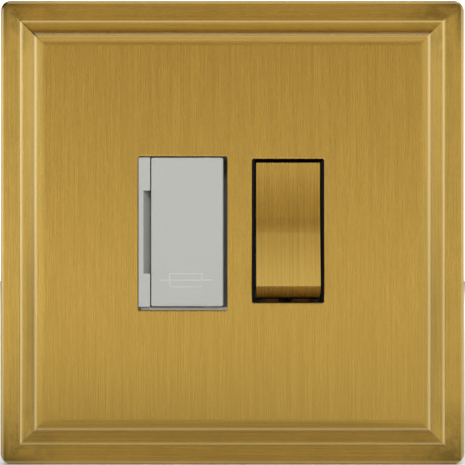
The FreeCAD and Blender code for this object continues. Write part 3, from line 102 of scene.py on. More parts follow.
def moulded(name, colour, roughness, grain=0.12, **fixed):
    """Moulded plastic: slow cloudiness from the flow, and the fine spark-eroded skin.

    Its grain is the strength of the skin's bump.
    """
    material, tree, shader, place = new_finish(name, **fixed)
    cloud = add_node(tree, "ShaderNodeTexNoise",
                     {"Vector": place, "Scale": CLOUDS_PER_METRE, "Detail": 4.0,
                      "Roughness": 0.6})
    skin = add_node(tree, "ShaderNodeTexNoise",
                    {"Vector": place, "Scale": GRAINS_PER_METRE, "Detail": 2.0,
                     "Roughness": 0.5})
    both = add_node(tree, "ShaderNodeMath", {0: cloud.outputs["Fac"], 1: GRAIN_SHARE,
                                             2: skin.outputs["Fac"]}, operation="MULTIPLY_ADD")
    colours = mix_colours(tree, cloud.outputs["Fac"], [c * (1 - CLOUD_TINT) for c in colour],
                          [min(1, c * (1 + CLOUD_TINT)) for c in colour])
    tree.links.new(colours, shader.inputs["Base Color"])
    vary_roughness(tree, shader, both.outputs["Value"], roughness - 0.08, roughness + 0.06)
    raise_bump(tree, shader, skin.outputs["Fac"], grain, GRAIN_DEPTH)
    return material


def finish_nodes(material, *names):
    for name in names:
        mesh = nodes[name].data
        mesh.materials.clear()
        mesh.materials.append(material)


white = moulded("white urea moulding", (0.75, 0.75, 0.72), 0.34)
finish_nodes(white, "rear_base")

# Beside each earth terminal the base has the earth sign, raised by the tool from the same
# white urea: a stem on three bars that get shorter. The signs stand in the base's open
# channel, on the back of its deck.
MM = 0.001


def raised_lines(name, paths, radius, place, material, body):
    """Round moulded lines along flat paths, made a mesh and put in their place."""
    curve = bpy.data.curves.new(name, "CURVE")
    curve.dimensions = "3D"
    curve.bevel_depth = radius
    curve.bevel_resolution = 3
    curve.use_fill_caps = True
    for closed, points in paths:
        spline = curve.splines.new("POLY")
        spline.points.add(len(points) - 1)
        spline.use_cyclic_u = closed
        for point, (across, up) in zip(spline.points, points):
            point.co = (across * MM, up * MM, 0, 1)
    drawn = bpy.data.objects.new(name, curve)
    bpy.context.scene.collection.objects.link(drawn)
    mesh = bpy.data.meshes.new_from_object(
        drawn.evaluated_get(bpy.context.evaluated_depsgraph_get()))
    bpy.data.objects.remove(drawn)
    mesh.transform(place)
    mesh.materials.clear()
    mesh.materials.append(material)
    made = bpy.data.objects.new(name, mesh)
    bpy.context.scene.collection.objects.link(made)
    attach(made, body)


EARTH_SIGN = [(False, [(0, 1.3), (0, 0)]), (False, [(-1.1, 0), (1.1, 0)]),
              (False, [(-0.7, -0.55), (0.7, -0.55)]), (False, [(-0.3, -1.1), (0.3, -1.1)])]
SIGN_RADIUS = 0.14 * MM
EARTH_TERMINALS_X, DECK_BACK_Y, SIGN_Z = (-15.4 * MM, 0), 15.32 * MM, 12.2 * MM
facing_back = Matrix.Rotation(math.radians(180), 4, "Z") @ Matrix.Rotation(
    math.radians(90), 4, "X")
for number, terminal_x in enumerate(EARTH_TERMINALS_X, 1):
    raised_lines(f"earth_sign_{number}", EARTH_SIGN, SIGN_RADIUS,
                 Matrix.Translation((terminal_x, DECK_BACK_Y, SIGN_Z)) @ facing_back,
                 white, "root")

# Six turned and drilled brass terminals hold the conductors, each under a slotted screw of
# bright zinc plated steel. A pressed brass strap joins the two earth terminals to the yoke.
STAINS_PER_METRE = 130.0
MARK_SPREAD, MARK_STRENGTH, MARK_DEPTH = 0.12, 0.05, 0.00003


def metal(name, colour, roughness, grain=(400, 400, 400), tint=0.12):
    """Bare metal whose marks lie along the axes with the low grain numbers."""
    material, tree, shader, place = new_finish(name, Metallic=1.0)
    spot = add_node(tree, "ShaderNodeMapping", {"Vector": place, "Scale": grain})
    marks = add_node(tree, "ShaderNodeTexNoise",
                     {"Vector": spot.outputs["Vector"], "Scale": 1.0, "Detail": 5.0,
                      "Roughness": 0.62})
    stain = add_node(tree, "ShaderNodeTexNoise",
                     {"Vector": place, "Scale": STAINS_PER_METRE, "Detail": 3.0,
                      "Roughness": 0.55})
    colours = mix_colours(tree, stain.outputs["Fac"], [c * (1 - tint) for c in colour],
                          [min(1, c * (1 + tint)) for c in colour])
    tree.links.new(colours, shader.inputs["Base Color"])
    vary_roughness(tree, shader, marks.outputs["Fac"], roughness - MARK_SPREAD,
                   roughness + MARK_SPREAD)
    raise_bump(tree, shader, marks.outputs["Fac"], MARK_STRENGTH, MARK_DEPTH)
    return material


TERMINALS = [f"terminal_{name}" for name in (
    "earth_out", "earth_in", "neutral_out", "line_out", "line_in", "neutral_in")]
turned_brass = metal("machined brass", (0.62, 0.47, 0.2), 0.3, (300, 300, 9000))
finish_nodes(turned_brass, *TERMINALS, "earth_strap")
zinc = metal("bright zinc plate", (0.56, 0.57, 0.6), 0.32, (900, 900, 900), tint=0.08)
finish_nodes(zinc, "terminal_screws")

# The contacts are strips of half-hard copper with silver tips riveted on. The blades rock
# on their brackets, and the two clips grip the ends of the fuse. The blades and the fixed
# strips are painted near black as shade, so they hardly show in the slot under the rocker.
POLES = ("line", "neutral")
copper = metal("rolled copper", (0.62, 0.33, 0.17), 0.36, (6000, 6000, 200), tint=0.15)
silver = metal("silver contact metal", (0.8, 0.8, 0.78), 0.28, (2500, 2500, 2500), tint=0.05)
# Painted shade: near-black copper for the contacts deep in the slot.
dark_copper = metal("copper painted dark as shade", (0.12, 0.066, 0.045), 0.5, (2000, 2000, 2000))
for pole in POLES:
    finish_nodes(copper, f"fulcrum_{pole}")
    finish_nodes(dark_copper, f"moving_contact_{pole}", f"fixed_contact_{pole}")
    finish_nodes(silver, f"moving_tip_{pole}", f"fixed_tip_{pole}")
finish_nodes(copper, "fuse_clip_top", "fuse_clip_bottom")

# The front moulding carries the fuse pocket. Its strip with the finger notch and its ledge
# show in the plate's window, in the same light grey urea as the carrier.
grey = moulded("light grey urea moulding", (0.363, 0.366, 0.342), 0.42, 0.1)
finish_nodes(grey, "front_moulding")

# The yoke is pressed from zinc plated steel sheet and screws to the wall box. The long
# assembly screws clamp the mouldings on both sides of it, and a copper spring on it touches
# the plate and earths it.
sheet = metal("zinc plated sheet", (0.55, 0.56, 0.58), 0.34, (260, 260, 2600), tint=0.1)
finish_nodes(sheet, "mounting_yoke", "assembly_screws")
finish_nodes(copper, "earth_spring")

# Two nickel plated M3.5 screws hold the yoke to the box, from behind the clip-on plate.
# Each has a slotted head, and a rolled thread all along its shank behind the yoke.
nickel = metal("polished nickel", (0.66, 0.65, 0.62), 0.2, (1500, 1500, 1500), tint=0.05)


def turns_tree():
    """Nodes that wind a ridge or a wire evenly round an axis, with or without a core."""
    tree = bpy.data.node_groups.new("even turns", "GeometryNodeTree")
    sockets = {}
    for name, kind in (("Radius", "Float"), ("Height", "Float"), ("Turns", "Float"),
                       ("Section Radius", "Float"), ("Section Sides", "Int"),
                       ("Core Radius", "Float"), ("Material", "Material")):
        made = tree.interface.new_socket(name, in_out="INPUT", socket_type=f"NodeSocket{kind}")
        sockets[name] = made.identifier
    tree.interface.new_socket("Geometry", in_out="OUTPUT", socket_type="NodeSocketGeometry")
    given = add_node(tree, "NodeGroupInput").outputs
    spiral = add_node(tree, "GeometryNodeCurveSpiral",
                      {"Resolution": 30, "Rotations": given["Turns"],
                       "Start Radius": given["Radius"], "End Radius": given["Radius"],
                       "Height": given["Height"]})
    section = add_node(tree, "GeometryNodeCurvePrimitiveCircle",
                       {"Resolution": given["Section Sides"], "Radius": given["Section Radius"]})
    wound = add_node(tree, "GeometryNodeCurveToMesh",
                     {"Curve": spiral.outputs["Curve"], "Profile Curve": section.outputs["Curve"],
                      "Fill Caps": True})
    core = add_node(tree, "GeometryNodeMeshCylinder",
                    {"Vertices": 32, "Radius": given["Core Radius"], "Depth": given["Height"]})
    halfway = add_node(tree, "ShaderNodeMath", {0: given["Height"], 1: 0.5}, operation="MULTIPLY")
    lift = add_node(tree, "ShaderNodeCombineXYZ", {"Z": halfway.outputs["Value"]})
    raised = add_node(tree, "GeometryNodeTransform",
                      {"Geometry": core.outputs["Mesh"], "Translation": lift.outputs["Vector"]})
    cored = add_node(tree, "FunctionNodeCompare", {0: given["Core Radius"], 1: 0.0},
                     operation="GREATER_THAN")
    chosen = add_node(tree, "GeometryNodeSwitch",
                      {"Switch": cored.outputs["Result"], "True": raised.outputs["Geometry"]},
                      input_type="GEOMETRY")
    join = add_node(tree, "GeometryNodeJoinGeometry")
    tree.links.new(wound.outputs["Mesh"], join.inputs["Geometry"])
    tree.links.new(chosen.outputs["Output"], join.inputs["Geometry"])
    real = add_node(tree, "GeometryNodeRealizeInstances", {"Geometry": join.outputs["Geometry"]})
    painted = add_node(tree, "GeometryNodeSetMaterial",
                       {"Geometry": real.outputs["Geometry"], "Material": given["Material"]})
    result = add_node(tree, "NodeGroupOutput")
    tree.links.new(painted.outputs["Geometry"], result.inputs["Geometry"])
    return tree, sockets


TURNS_TREE, TURNS_SOCKETS = turns_tree()


def wind(values, place):
    """The turns as a plain mesh, moved to their place."""
    holder = bpy.data.objects.new("turns", bpy.data.meshes.new("turns"))
    bpy.context.scene.collection.objects.link(holder)
    modifier = holder.modifiers.new("turns", "NODES")
    modifier.node_group = TURNS_TREE
    for name, value in values.items():
        modifier[TURNS_SOCKETS[name]] = value
    mesh = bpy.data.meshes.new_from_object(
        holder.evaluated_get(bpy.context.evaluated_depsgraph_get()))
    bpy.data.objects.remove(holder)
    mesh.transform(place)
    return mesh


THREAD_RADIUS, THREAD_PITCH, THREAD_DEPTH = 1.72 * MM, 0.6 * MM, 0.3 * MM
THREAD_START, SHANK_END_ROOM = 0.3 * MM, 0.05 * MM
DOUBLES = 0.001 * MM
low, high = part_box("fixing_screws")
head_radius = (high.z - low.z) / 2
thread_length = high.y - THREAD_START - THREAD_DEPTH - SHANK_END_ROOM
screws = bmesh.new()
screws.from_mesh(nodes["fixing_screws"].data)
bmesh.ops.remove_doubles(screws, verts=screws.verts, dist=DOUBLES)
bmesh.ops.bisect_plane(screws, geom=screws.verts[:] + screws.edges[:] + screws.faces[:],
                       plane_co=(0, THREAD_START, 0), plane_no=(0, 1, 0), clear_outer=True)
bmesh.ops.holes_fill(screws, edges=[edge for edge in screws.edges if edge.is_boundary])
core_radius = THREAD_RADIUS - THREAD_DEPTH
for centre in (low.x + head_radius, high.x - head_radius):
    axis = Matrix.Translation((centre, THREAD_START, 0)) @ Matrix.Rotation(
        math.radians(-90), 4, "X")
    screws.from_mesh(wind(
        {"Radius": core_radius, "Height": thread_length, "Turns": thread_length / THREAD_PITCH,
         "Section Radius": THREAD_DEPTH, "Section Sides": 6, "Core Radius": core_radius,
         "Material": nickel}, axis))
screws_mesh = bpy.data.meshes.new("threaded_fixing_screws")
screws.to_mesh(screws_mesh)
screws_mesh.materials.append(nickel)
threaded = bpy.data.objects.new("threaded_fixing_screws", screws_mesh)
bpy.context.scene.collection.objects.link(threaded)
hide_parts("fixing_screws")
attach(threaded, "root")

# The rocker turns on a blackened steel pin across the black surround. Its black nylon core
# carries the two plungers, each with a coil of nickel plated spring wire behind it.
black = moulded("black nylon", (0.004, 0.004, 0.005), 0.6, Specular_IOR_Level=0.08)
finish_nodes(black, "rocker_bezel", "rocker_body", "plate_liner")
finish_nodes(metal("blackened steel", (0.03, 0.03, 0.032), 0.45), "rocker_pivot_pin")
finish_nodes(moulded("natural nylon", (0.8, 0.79, 0.74), 0.3), "plunger_line",
             "plunger_neutral")
WIRE_RADIUS, SPRING_TURNS = 0.13 * MM, 5.0
ROCKER_TILT = math.radians(-9)
for pole in POLES:
    node = f"plunger_spring_{pole}"
    low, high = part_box(node)
    outer = (high.x - low.x) / 2
    length = ((high.y - low.y) - 2 * outer * abs(math.sin(ROCKER_TILT))) / math.cos(ROCKER_TILT)
    length -= 2 * WIRE_RADIUS
    lean = Matrix.Rotation(ROCKER_TILT, 4, "X") @ Matrix.Rotation(math.radians(-90), 4, "X")
    start = (low + high) / 2 - lean @ Vector((0, 0, length / 2))
    spring = wind({"Radius": outer - WIRE_RADIUS, "Height": length, "Turns": SPRING_TURNS,
                   "Section Radius": WIRE_RADIUS, "Section Sides": 12, "Core Radius": 0.0,
                   "Material": nickel}, Matrix.Translation(start) @ lean)
    coil = bpy.data.objects.new(f"coil_spring_{pole}", spring)
    bpy.context.scene.collection.objects.link(coil)
    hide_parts(node)
    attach(coil, "rocker")

# The carrier is a hinged grey urea moulding with a 25.4 mm cartridge fuse in it. Low on its
# door stands the plain sign for a fuse, a box with a line through it, a little paler than
# the door because the raised lines rub clean.
finish_nodes(grey, "fuse_carrier")
finish_nodes(moulded("glazed ceramic", (0.85, 0.84, 0.8), 0.18, 0.02), "fuse_tube")
finish_nodes(metal("nickel plated brass", (0.68, 0.67, 0.64), 0.22), "fuse_cap_top",
             "fuse_cap_bottom")
FUSE_SIGN = [(True, [(-3.2, -1.3), (3.2, -1.3), (3.2, 1.3), (-3.2, 1.3)]),
             (False, [(-5.2, 0), (5.2, 0)])]
FUSE_SIGN_X, FUSE_SIGN_Z = -9.1 * MM, -9.4 * MM
FUSE_LINE, FUSE_LINE_SUNK = 0.2 * MM, 0.12 * MM
rubbed_grey = moulded("rubbed grey urea", (0.45, 0.455, 0.43), 0.38, 0.06)
door_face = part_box("fuse_carrier")[0].y
fuse_sign_place = Matrix.Translation(
    (FUSE_SIGN_X, door_face + FUSE_LINE_SUNK, FUSE_SIGN_Z)) @ Matrix.Rotation(
        math.radians(90), 4, "X")
raised_lines("fuse_sign", FUSE_SIGN, FUSE_LINE, fuse_sign_place, rubbed_grey,
             "carrier")

# The plate is one pressing of 1.2 mm brass sheet: a flat band, a step, a hollow cove, an
# arris and a gentle fall to the middle, all drawn round the square with mitred corners.
# Two windows are punched in it. The sizes are in millimetres: each bend has the slope that
# it ends at, in degrees, and its radius.
PLATE_HALF = 46.0
PLATE_CORNER, MITRE_ROUND = 2.0, 0.22
SHEET, FLAT_LEAD, CORNER_LEAD = 1.2, 0.2, 0.05
RIM_SIDE, BAND_SLOPE, BAND_RUN, STEP_RISER, ARRIS_RISER = 2.2, 3.75, 3.0, 0.39, 0.36
BENDS = {"rim": (BAND_SLOPE, 0.7), "inside step": (88, -0.2), "step": (18, 0.7),
         "cove": (58, -4.85), "arris": (25, 0.9), "fall": (0, 4.2)}
BEND_FACET = 6
BAND_BACK = [(SHEET, 0), (SHEET, 1.7), (4.9, 1.9)]
SWITCH_WINDOW, FUSE_WINDOW = (3.87, 17.97, -13.807, 14.407), (-18.509, -0.98, -15.3, 14.9)
WINDOW_CORNER, WINDOW_EDGE = 0.4, 0.12
PRY_NOTCH_WIDTH, PRY_NOTCH_DEPTH = 9.0, 1.0


def bend(points, slope, name):
    """Add an arc to a profile; a positive radius is a rounded edge, a negative one a hollow."""
    to, radius = BENDS[name]
    first, (inset, height) = math.radians(slope), points[-1][:2]
    steps = max(3, round(abs(to - slope) / BEND_FACET))
    for step in range(1, steps + 1):
        now = first + (math.radians(to) - first) * step / steps
        points.append((inset + radius * (math.sin(first) - math.sin(now)),
                       height + radius * (math.cos(now) - math.cos(first)), now))
    return to


def run(points, slope, length):
    """Add a straight stretch to a profile."""
    inset, height = points[-1][:2]
    turned = math.radians(slope)
    points.append((inset + length * math.cos(turned), height + length * math.sin(turned),
                   turned))


front = [(0, 0, math.radians(90)), (0, RIM_SIDE, math.radians(90))]
slope = bend(front, 90, "rim")
run(front, slope, BAND_RUN)
slope = bend(front, slope, "inside step")
run(front, slope, STEP_RISER)
slope = bend(front, slope, "step")
cove_start = len(front) - 1
slope = bend(front, slope, "cove")
cove_end = len(front)
run(front, slope, ARRIS_RISER)
for name in ("arris", "fall"):
    slope = bend(front, slope, name)
plate_depth = front[-1][1]
run(front, slope, FLAT_LEAD)
back = BAND_BACK + [(inset + SHEET * math.sin(turned), height - SHEET * math.cos(turned))
                    for inset, height, turned in front[cove_start:cove_end]]
back += [(front[-2][0], plate_depth - SHEET), (front[-1][0], plate_depth - SHEET)]
chain = [point[:2] for point in reversed(back)] + [point[:2] for point in front]


def rounded_outline(left, right, low, high, radius, steps=9):
    """The corner points of a rounded rectangle, with a point just before and after each."""
    outline, lead = [], min(CORNER_LEAD, radius / 2)
    for number, (x, z) in enumerate(((right, high), (left, high), (left, low), (right, low))):
        centre_x = x - radius if x == right else x + radius
        centre_z = z - radius if z == high else z + radius
        start = number * math.pi / 2
        turns = [start + step / steps * math.pi / 2 for step in range(steps + 1)]
        spots = [(centre_x + radius * math.cos(a), centre_z + radius * math.sin(a))
                 for a in turns]
        before = (spots[0][0] + lead * math.sin(start), spots[0][1] - lead * math.cos(start))
        after = (spots[-1][0] - lead * math.cos(start), spots[-1][1] - lead * math.sin(start))
        outline += [before, *spots, after]
    return outline


def ring(shape, outline, height):
    """The points of an outline at a height above the wall."""
    return [shape.verts.new((x * MM, -height * MM, z * MM)) for x, z in outline]


def bridge(shape, rings):
    """Join each ring of points to the next with a band of faces."""
    for one, other in zip(rings, rings[1:]):
        for number in range(len(one)):
            after = (number + 1) % len(one)
            shape.faces.new((one[number], one[after], other[after], other[number]))


def fill(shape, loops):
    """Close the flat face inside the first loop and round the others."""
    edges = [shape.edges.get((loop[n], loop[(n + 1) % len(loop)]))
             for loop in loops for n in range(len(loop))]
    bmesh.ops.triangle_fill(shape, edges=edges, use_beauty=True)


plate = bmesh.new()
rings = []
for inset, height in chain:
    half = PLATE_HALF - inset
    corner = max(PLATE_CORNER - inset, MITRE_ROUND)
    rings.append(ring(plate, rounded_outline(-half, half, -half, half, corner), height))
bridge(plate, rings)
front_loops, back_loops = [rings[-1]], [rings[0]]
for left, right, low, high in (SWITCH_WINDOW, FUSE_WINDOW):
    grow = WINDOW_EDGE + FLAT_LEAD
    window = [ring(plate, rounded_outline(left - grow, right + grow, low - grow, high + grow,
                                          WINDOW_CORNER + grow), plate_depth)]
    for step in range(4):
        turned = math.radians(90 * step / 3)
        grow = WINDOW_EDGE * (1 - math.sin(turned))
        window.append(ring(plate, rounded_outline(
            left - grow, right + grow, low - grow, high + grow, WINDOW_CORNER + grow),
            plate_depth - WINDOW_EDGE * (1 - math.cos(turned))))
    window.append(ring(plate, rounded_outline(left, right, low, high, WINDOW_CORNER),
                       plate_depth - SHEET))
    bridge(plate, window)
    front_loops.append(window[0])
    back_loops.append(window[-1])
fill(plate, front_loops)
fill(plate, back_loops)
bmesh.ops.recalc_face_normals(plate, faces=plate.faces)
plate_mesh = bpy.data.meshes.new("stepped_plate")
plate.to_mesh(plate_mesh)
stepped_plate = bpy.data.objects.new("stepped_plate", plate_mesh)
bpy.context.scene.collection.objects.link(stepped_plate)

notch_mesh = bpy.data.meshes.new("notch")
notch = bmesh.new()
bmesh.ops.create_cube(notch, size=1, matrix=Matrix.Translation(
    (0, 0, -PLATE_HALF * MM)) @ Matrix.Diagonal(
        (PRY_NOTCH_WIDTH * MM, 2 * PRY_NOTCH_DEPTH * MM, 4 * SHEET * MM, 1)))
notch.to_mesh(notch_mesh)
notch_cutter = bpy.data.objects.new("notch", notch_mesh)
bpy.context.scene.collection.objects.link(notch_cutter)
cut = stepped_plate.modifiers.new("notch", "BOOLEAN")
cut.object, cut.operation, cut.solver = notch_cutter, "DIFFERENCE", "EXACT"
plate_mesh = bpy.data.meshes.new_from_object(
    stepped_plate.evaluated_get(bpy.context.evaluated_depsgraph_get()))
stepped_plate.modifiers.clear()
stepped_plate.data = plate_mesh
bpy.data.objects.remove(notch_cutter)
plate_mesh.polygons.foreach_set("use_smooth", [True] * len(plate_mesh.polygons))
plate_mesh.set_sharp_from_angle(angle=math.radians(16))
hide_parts("front_plate")
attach(stepped_plate, "root")

# The plate is brushed along each side of its frame and upright across the middle, and
# lacquered. Paler lines are painted along its edges as highlights, at an inset, over a reach
# and by a share, and its corners are darker in brown patches, most of all along the rim:
# partly tarnish, partly painted shade, and a painted dark reflection at the rim's corners.
BRASS_DARK, BRASS_LIGHT = (0.33, 0.2, 0.036), (0.63, 0.405, 0.086)
# A pale colour for the painted highlights along the edges, and a dark brown for the corners,
# partly tarnish and partly painted shade.
BRASS_PAINTED_HIGHLIGHT, BRASS_TARNISH_AND_SHADE = (0.78, 0.6, 0.25), (0.132, 0.08, 0.0144)
BRASS_ROUGHNESS, BRUSH_STRENGTH, BRUSH_DEPTH = (0.2, 0.34), 0.12, 0.00002
FRAME_WIDTH = 9.3
# Where the painted highlight lines run: their inset, reach and share.
PAINTED_HIGHLIGHT_LINES = [(0.4, 0.45, 0.5), (4.15, 0.6, 0.8), (7.3, 0.6, 0.75)]
FINE_BRUSH, BROAD_BRUSH, FINE_SHARE = (6500.0, 50.0, 4.0), (1500.0, 22.0, 3.0), 0.65
PATCHES_PER_METRE, PATCH_EDGE, PATCH_HEART = 190.0, 0.4, 0.64
# How dark the rim is painted at the corners, as a painted dark reflection.
RIM_DARK_REFLECTION = 0.8
# Painted shade deep in the slot under the rocker cap's lower end: where it starts, how it
# deepens, how much and how dark.
SLOT_SHADE_BELOW, SLOT_SHADE_FROM, SLOT_SHADE_TO = -11.4, -10.2, -7.6
SLOT_SHADE_SHARE, SLOT_SHADE_TINT = 0.95, 0.05


def brushed_brass(name, framed, dark=BRASS_DARK, light=BRASS_LIGHT):
    """Brass with streaks along its brushing; the framed one turns them at its mitres."""
    material, tree, shader, place = new_finish(
        name, Metallic=1.0, Anisotropic=0.5, Coat_Weight=0.15, Coat_Roughness=0.3)
    parts = add_node(tree, "ShaderNodeSeparateXYZ", {"Vector": place}).outputs

    def work(operation, *values):
        made = add_node(tree, "ShaderNodeMath", dict(enumerate(values)), operation=operation)
        return made.outputs["Value"]

    def fade(value, start, end, full, left):
        """From full at the start to what is left at the end, both in millimetres."""
        made = add_node(tree, "ShaderNodeMapRange", {
            "Value": value, "From Min": start * MM, "From Max": end * MM, "To Min": full,
            "To Max": left})
        return made.outputs["Result"]

    def either(share, first, second):
        mix = add_node(tree, "ShaderNodeMix", {0: share, 2: first, 3: second})
        return mix.outputs[0]

    across, along = parts["X"], parts["Z"]
    tangent = add_node(tree, "ShaderNodeCombineXYZ", {"X": 1.0})
    if framed:
        wide, high = work("ABSOLUTE", parts["X"]), work("ABSOLUTE", parts["Z"])
        level = work("MULTIPLY", work("GREATER_THAN", high, wide),
                     work("GREATER_THAN", high, (PLATE_HALF - FRAME_WIDTH) * MM))
        across = either(level, parts["X"], parts["Z"])
        along = either(level, parts["Z"], parts["X"])
        tree.links.new(work("SUBTRACT", 1.0, level), tangent.inputs["X"])
        tree.links.new(level, tangent.inputs["Z"])
    tree.links.new(tangent.outputs["Vector"], shader.inputs["Tangent"])

    def streaks(fineness, length, detail):
        """Noise drawn out along the brushing; on the curved cap that runs in depth too."""
        spot = add_node(tree, "ShaderNodeCombineXYZ",
                        {"X": work("MULTIPLY", across, fineness),
                         "Y": work("MULTIPLY", parts["Y"], fineness if framed else length),
                         "Z": work("MULTIPLY", along, length)})
        return add_node(tree, "ShaderNodeTexNoise",
                        {"Vector": spot.outputs["Vector"], "Scale": 1.0, "Detail": detail,
                         "Roughness": 0.7}).outputs["Fac"]

    fine, broad = streaks(*FINE_BRUSH), streaks(*BROAD_BRUSH)
    lines = work("MULTIPLY_ADD", fine, FINE_SHARE, work("MULTIPLY", broad, 1 - FINE_SHARE))
    colours = mix_colours(tree, lines, dark, light)
    if framed:
        inset = work("SUBTRACT", PLATE_HALF * MM, work("MAXIMUM", wide, high))
        to_corner = work("MINIMUM", wide, high)
        cloud = add_node(tree, "ShaderNodeTexNoise",
                         {"Vector": place, "Scale": PATCHES_PER_METRE, "Detail": 5.0,
                          "Roughness": 0.7})
        patches = add_node(tree, "ShaderNodeMapRange",
                           {"Value": cloud.outputs["Fac"], "From Min": PATCH_EDGE,
                            "From Max": PATCH_HEART})
        # Brown patches near the corners of the band, partly tarnish and partly painted shade.
        tarnish_and_shade_patches = work("MULTIPLY", work("MULTIPLY", patches.outputs["Result"],
                                       fade(to_corner, 33, 46, 0.1, 0.9)),
                      fade(inset, 5, 9, 1.0, 0.0))
        # A painted dark reflection along the rim at the corners.
        rim = work("MULTIPLY", fade(inset, 0.9, 2.2, RIM_DARK_REFLECTION, 0.0),
                   fade(to_corner, 35, 44, 0.0, 1.0))
        colours = mix_colours(tree, work("MAXIMUM", tarnish_and_shade_patches, rim), colours, BRASS_TARNISH_AND_SHADE)
        # Paler lines painted as highlights along the edges.
        for centre, reach, share in PAINTED_HIGHLIGHT_LINES:
            rubbed = add_node(tree, "ShaderNodeMapRange",
                              {"Value": work("ABSOLUTE", work("SUBTRACT", inset, centre * MM)),
                               "From Min": 0.0, "From Max": reach * MM, "To Min": share,
                               "To Max": 0.0}, interpolation_type="SMOOTHSTEP")
            colours = mix_colours(tree, rubbed.outputs["Result"], colours, BRASS_PAINTED_HIGHLIGHT)
    else:
        # Painted shade: the cap's lower end darkens to near black deep in the slot.
        slot_shade = work(
            "MULTIPLY", fade(parts["Y"], SLOT_SHADE_FROM, SLOT_SHADE_TO, 0.0, SLOT_SHADE_SHARE),
            work("LESS_THAN", parts["Z"], SLOT_SHADE_BELOW * MM))
        colours = mix_colours(tree, slot_shade, colours,
                              [c * SLOT_SHADE_TINT for c in BRASS_DARK])
    tree.links.new(colours, shader.inputs["Base Color"])
    vary_roughness(tree, shader, lines, *BRASS_ROUGHNESS)
    raise_bump(tree, shader, lines, BRUSH_STRENGTH, BRUSH_DEPTH)
    return material


plate_mesh.materials.clear()
plate_mesh.materials.append(brushed_brass("frame brushed brass", True))

# The rocker's dished cap is pressed from the same brass and clipped over the black core. It
# is brushed upright with a coarser belt, so its streaks stand out more. Deep in the slot
# under its lower end its colour is painted near black as shade.
CAP_DARK, CAP_LIGHT = [c * 0.8 for c in BRASS_DARK], [c * 1.12 for c in BRASS_LIGHT]
finish_nodes(brushed_brass("upright brushed brass", False, CAP_DARK, CAP_LIGHT), "rocker_cap")

# The unit stands on a plain pale floor in a plain room. Three soft boxes, out of sight of the
# camera and of the metal, light its dull surfaces from the left, from above in front and
# from behind.
FLOOR_Z = -46.05 * MM
FLOOR_HALF = 1.5
floor_mesh = bpy.data.meshes.new("floor")
floor_mesh.from_pydata([(x * FLOOR_HALF, y * FLOOR_HALF, FLOOR_Z)
                        for x, y in ((-1, -1), (1, -1), (1, 1), (-1, 1))], [], [(0, 1, 2, 3)])
floor = bpy.data.objects.new("floor", floor_mesh)
bpy.context.scene.collection.objects.link(floor)
floor.data.materials.append(moulded("pale paper floor", (0.8, 0.8, 0.79), 0.7, 0.05))


def soft_light(name, spot, aim, width, height, power):
    """A soft box that lights the dull surfaces, while the metal mirrors the room."""
    data = bpy.data.lights.new(name, "AREA")
    data.shape = "RECTANGLE"
    data.size, data.size_y, data.energy = width, height, power
    made = bpy.data.objects.new(name, data)
    made.location = spot
    made.rotation_euler = (Vector(aim) - Vector(spot)).to_track_quat("-Z", "Y").to_euler()
    made.visible_camera = False
    made.visible_glossy = False
    bpy.context.scene.collection.objects.link(made)


UNIT_MIDDLE, FLOOR_AHEAD = (0, 0, 0), (0, -0.9, -0.046)
soft_light("left light", (-0.5, -0.65, 0.06), UNIT_MIDDLE, 0.4, 0.3, 3.6)
soft_light("overhead light", (0.0, -1.1, 0.9), FLOOR_AHEAD, 0.6, 0.4, 16.5)
soft_light("back light", (0.5, 0.9, 0.5), UNIT_MIDDLE, 0.5, 0.5, 9.0)

# The brass mirrors the room, which has bright sides, soft panels high in front and behind,
# and a dim ceiling. Its brightness is set by the angle over the top, 0 straight in front, 90
# overhead and 180 behind. The dull surfaces get an even light from it.
ROOM_BY_ANGLE = [(-180, 0.2), (-13, 0.26), (-6.5, 1.25), (0, 0.96), (6, 0.62), (10, 0.56),
                 (17, 0.33), (26, 0.85), (36, 1.3), (44, 1.1), (52, 0.7), (61, 0.75),
                 (82, 0.7), (92, 0.45), (104, 0.2), (112, 0.2), (117, 1.9), (132, 2.4),
                 (180, 2.4)]
LEFT_LEVEL, RIGHT_LEVEL, HIGH_LEFT_LEVEL = 1.25, 1.1, 0.1
BACK_LIGHT, EVEN_LIGHT = (1.6, 1.6, 1.57), (0.2, 0.2, 0.194)


def light_colour(level):
    """Dim parts of the room are warmer, and bright parts are cooler."""
    green, blue = (1.35, 2.4) if level < 1 else (1.2, 1.8)
    return level, level ** green, level ** blue


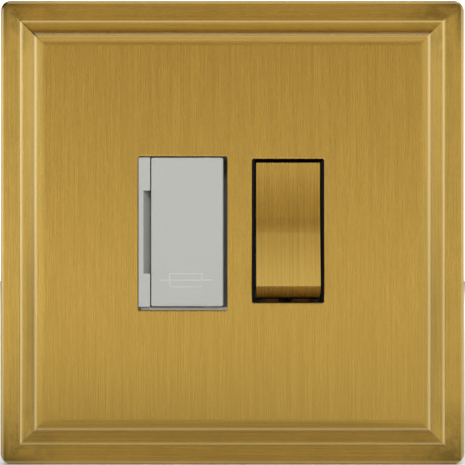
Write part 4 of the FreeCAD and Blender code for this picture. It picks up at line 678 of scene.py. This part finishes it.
world = bpy.data.worlds.new("studio")
world.use_nodes = True
tree = world.node_tree
way = add_node(tree, "ShaderNodeSeparateXYZ",
               {"Vector": add_node(tree, "ShaderNodeTexCoord").outputs["Generated"]}).outputs
forward = add_node(tree, "ShaderNodeMath", {0: way["Y"], 1: -1.0}, operation="MULTIPLY")
over = add_node(tree, "ShaderNodeMath", {0: way["Z"], 1: forward.outputs["Value"]},
                operation="ARCTAN2")
turn = add_node(tree, "ShaderNodeMapRange", {"Value": over.outputs["Value"],
                                             "From Min": -math.pi, "From Max": math.pi})
ramp = add_node(tree, "ShaderNodeValToRGB", {"Fac": turn.outputs["Result"]})
stops = ramp.color_ramp.elements
stops.remove(stops[-1])
for number, (angle, level) in enumerate(ROOM_BY_ANGLE):
    spot = (angle + 180) / 360
    stop = stops[0] if number == 0 else stops.new(spot)
    stop.position = spot
    stop.color = (*light_colour(level), 1)


def share_of(axis, start, full):
    """How far a direction's component has passed from start to full."""
    return add_node(tree, "ShaderNodeMapRange",
                    {"Value": way[axis], "From Min": start, "From Max": full},
                    interpolation_type="SMOOTHSTEP").outputs["Result"]


room = mix_colours(tree, share_of("X", -0.16, -0.45), ramp.outputs["Color"],
                   light_colour(LEFT_LEVEL))
room = mix_colours(tree, share_of("X", 0.12, 0.5), room, light_colour(RIGHT_LEVEL))
high_left = add_node(tree, "ShaderNodeMath",
                     {0: share_of("X", -0.25, -0.45), 1: share_of("Z", 0.15, 0.4)},
                     operation="MULTIPLY")
room = mix_colours(tree, high_left.outputs["Value"], room, light_colour(HIGH_LEFT_LEVEL))
room = mix_colours(tree, share_of("Y", 0.6, 0.8), room, BACK_LIGHT)
diffuse = add_node(tree, "ShaderNodeLightPath").outputs["Is Diffuse Ray"]
room = mix_colours(tree, diffuse, room, EVEN_LIGHT)
tree.links.new(room, tree.nodes["Background"].inputs["Color"])
bpy.context.scene.world = world

# The camera stands square before the plate, as in the photograph. Its lens spans the
# photograph's width at the depth of the plate's rim.
CAMERA_SPOT = (0.03 * MM, -0.4, -0.03 * MM)
RIM_Y, PHOTO_WIDTH = -2.2 * MM, 92.38 * MM
camera_data = bpy.data.cameras.new("camera")
camera_data.lens = camera_data.sensor_width * (RIM_Y - CAMERA_SPOT[1]) / PHOTO_WIDTH
camera = bpy.data.objects.new("camera", camera_data)
camera.location = CAMERA_SPOT
camera.rotation_euler = (math.radians(90), 0, 0)
bpy.context.scene.collection.objects.link(camera)
bpy.context.scene.camera = camera
bpy.context.scene.view_settings.view_transform = "Standard"
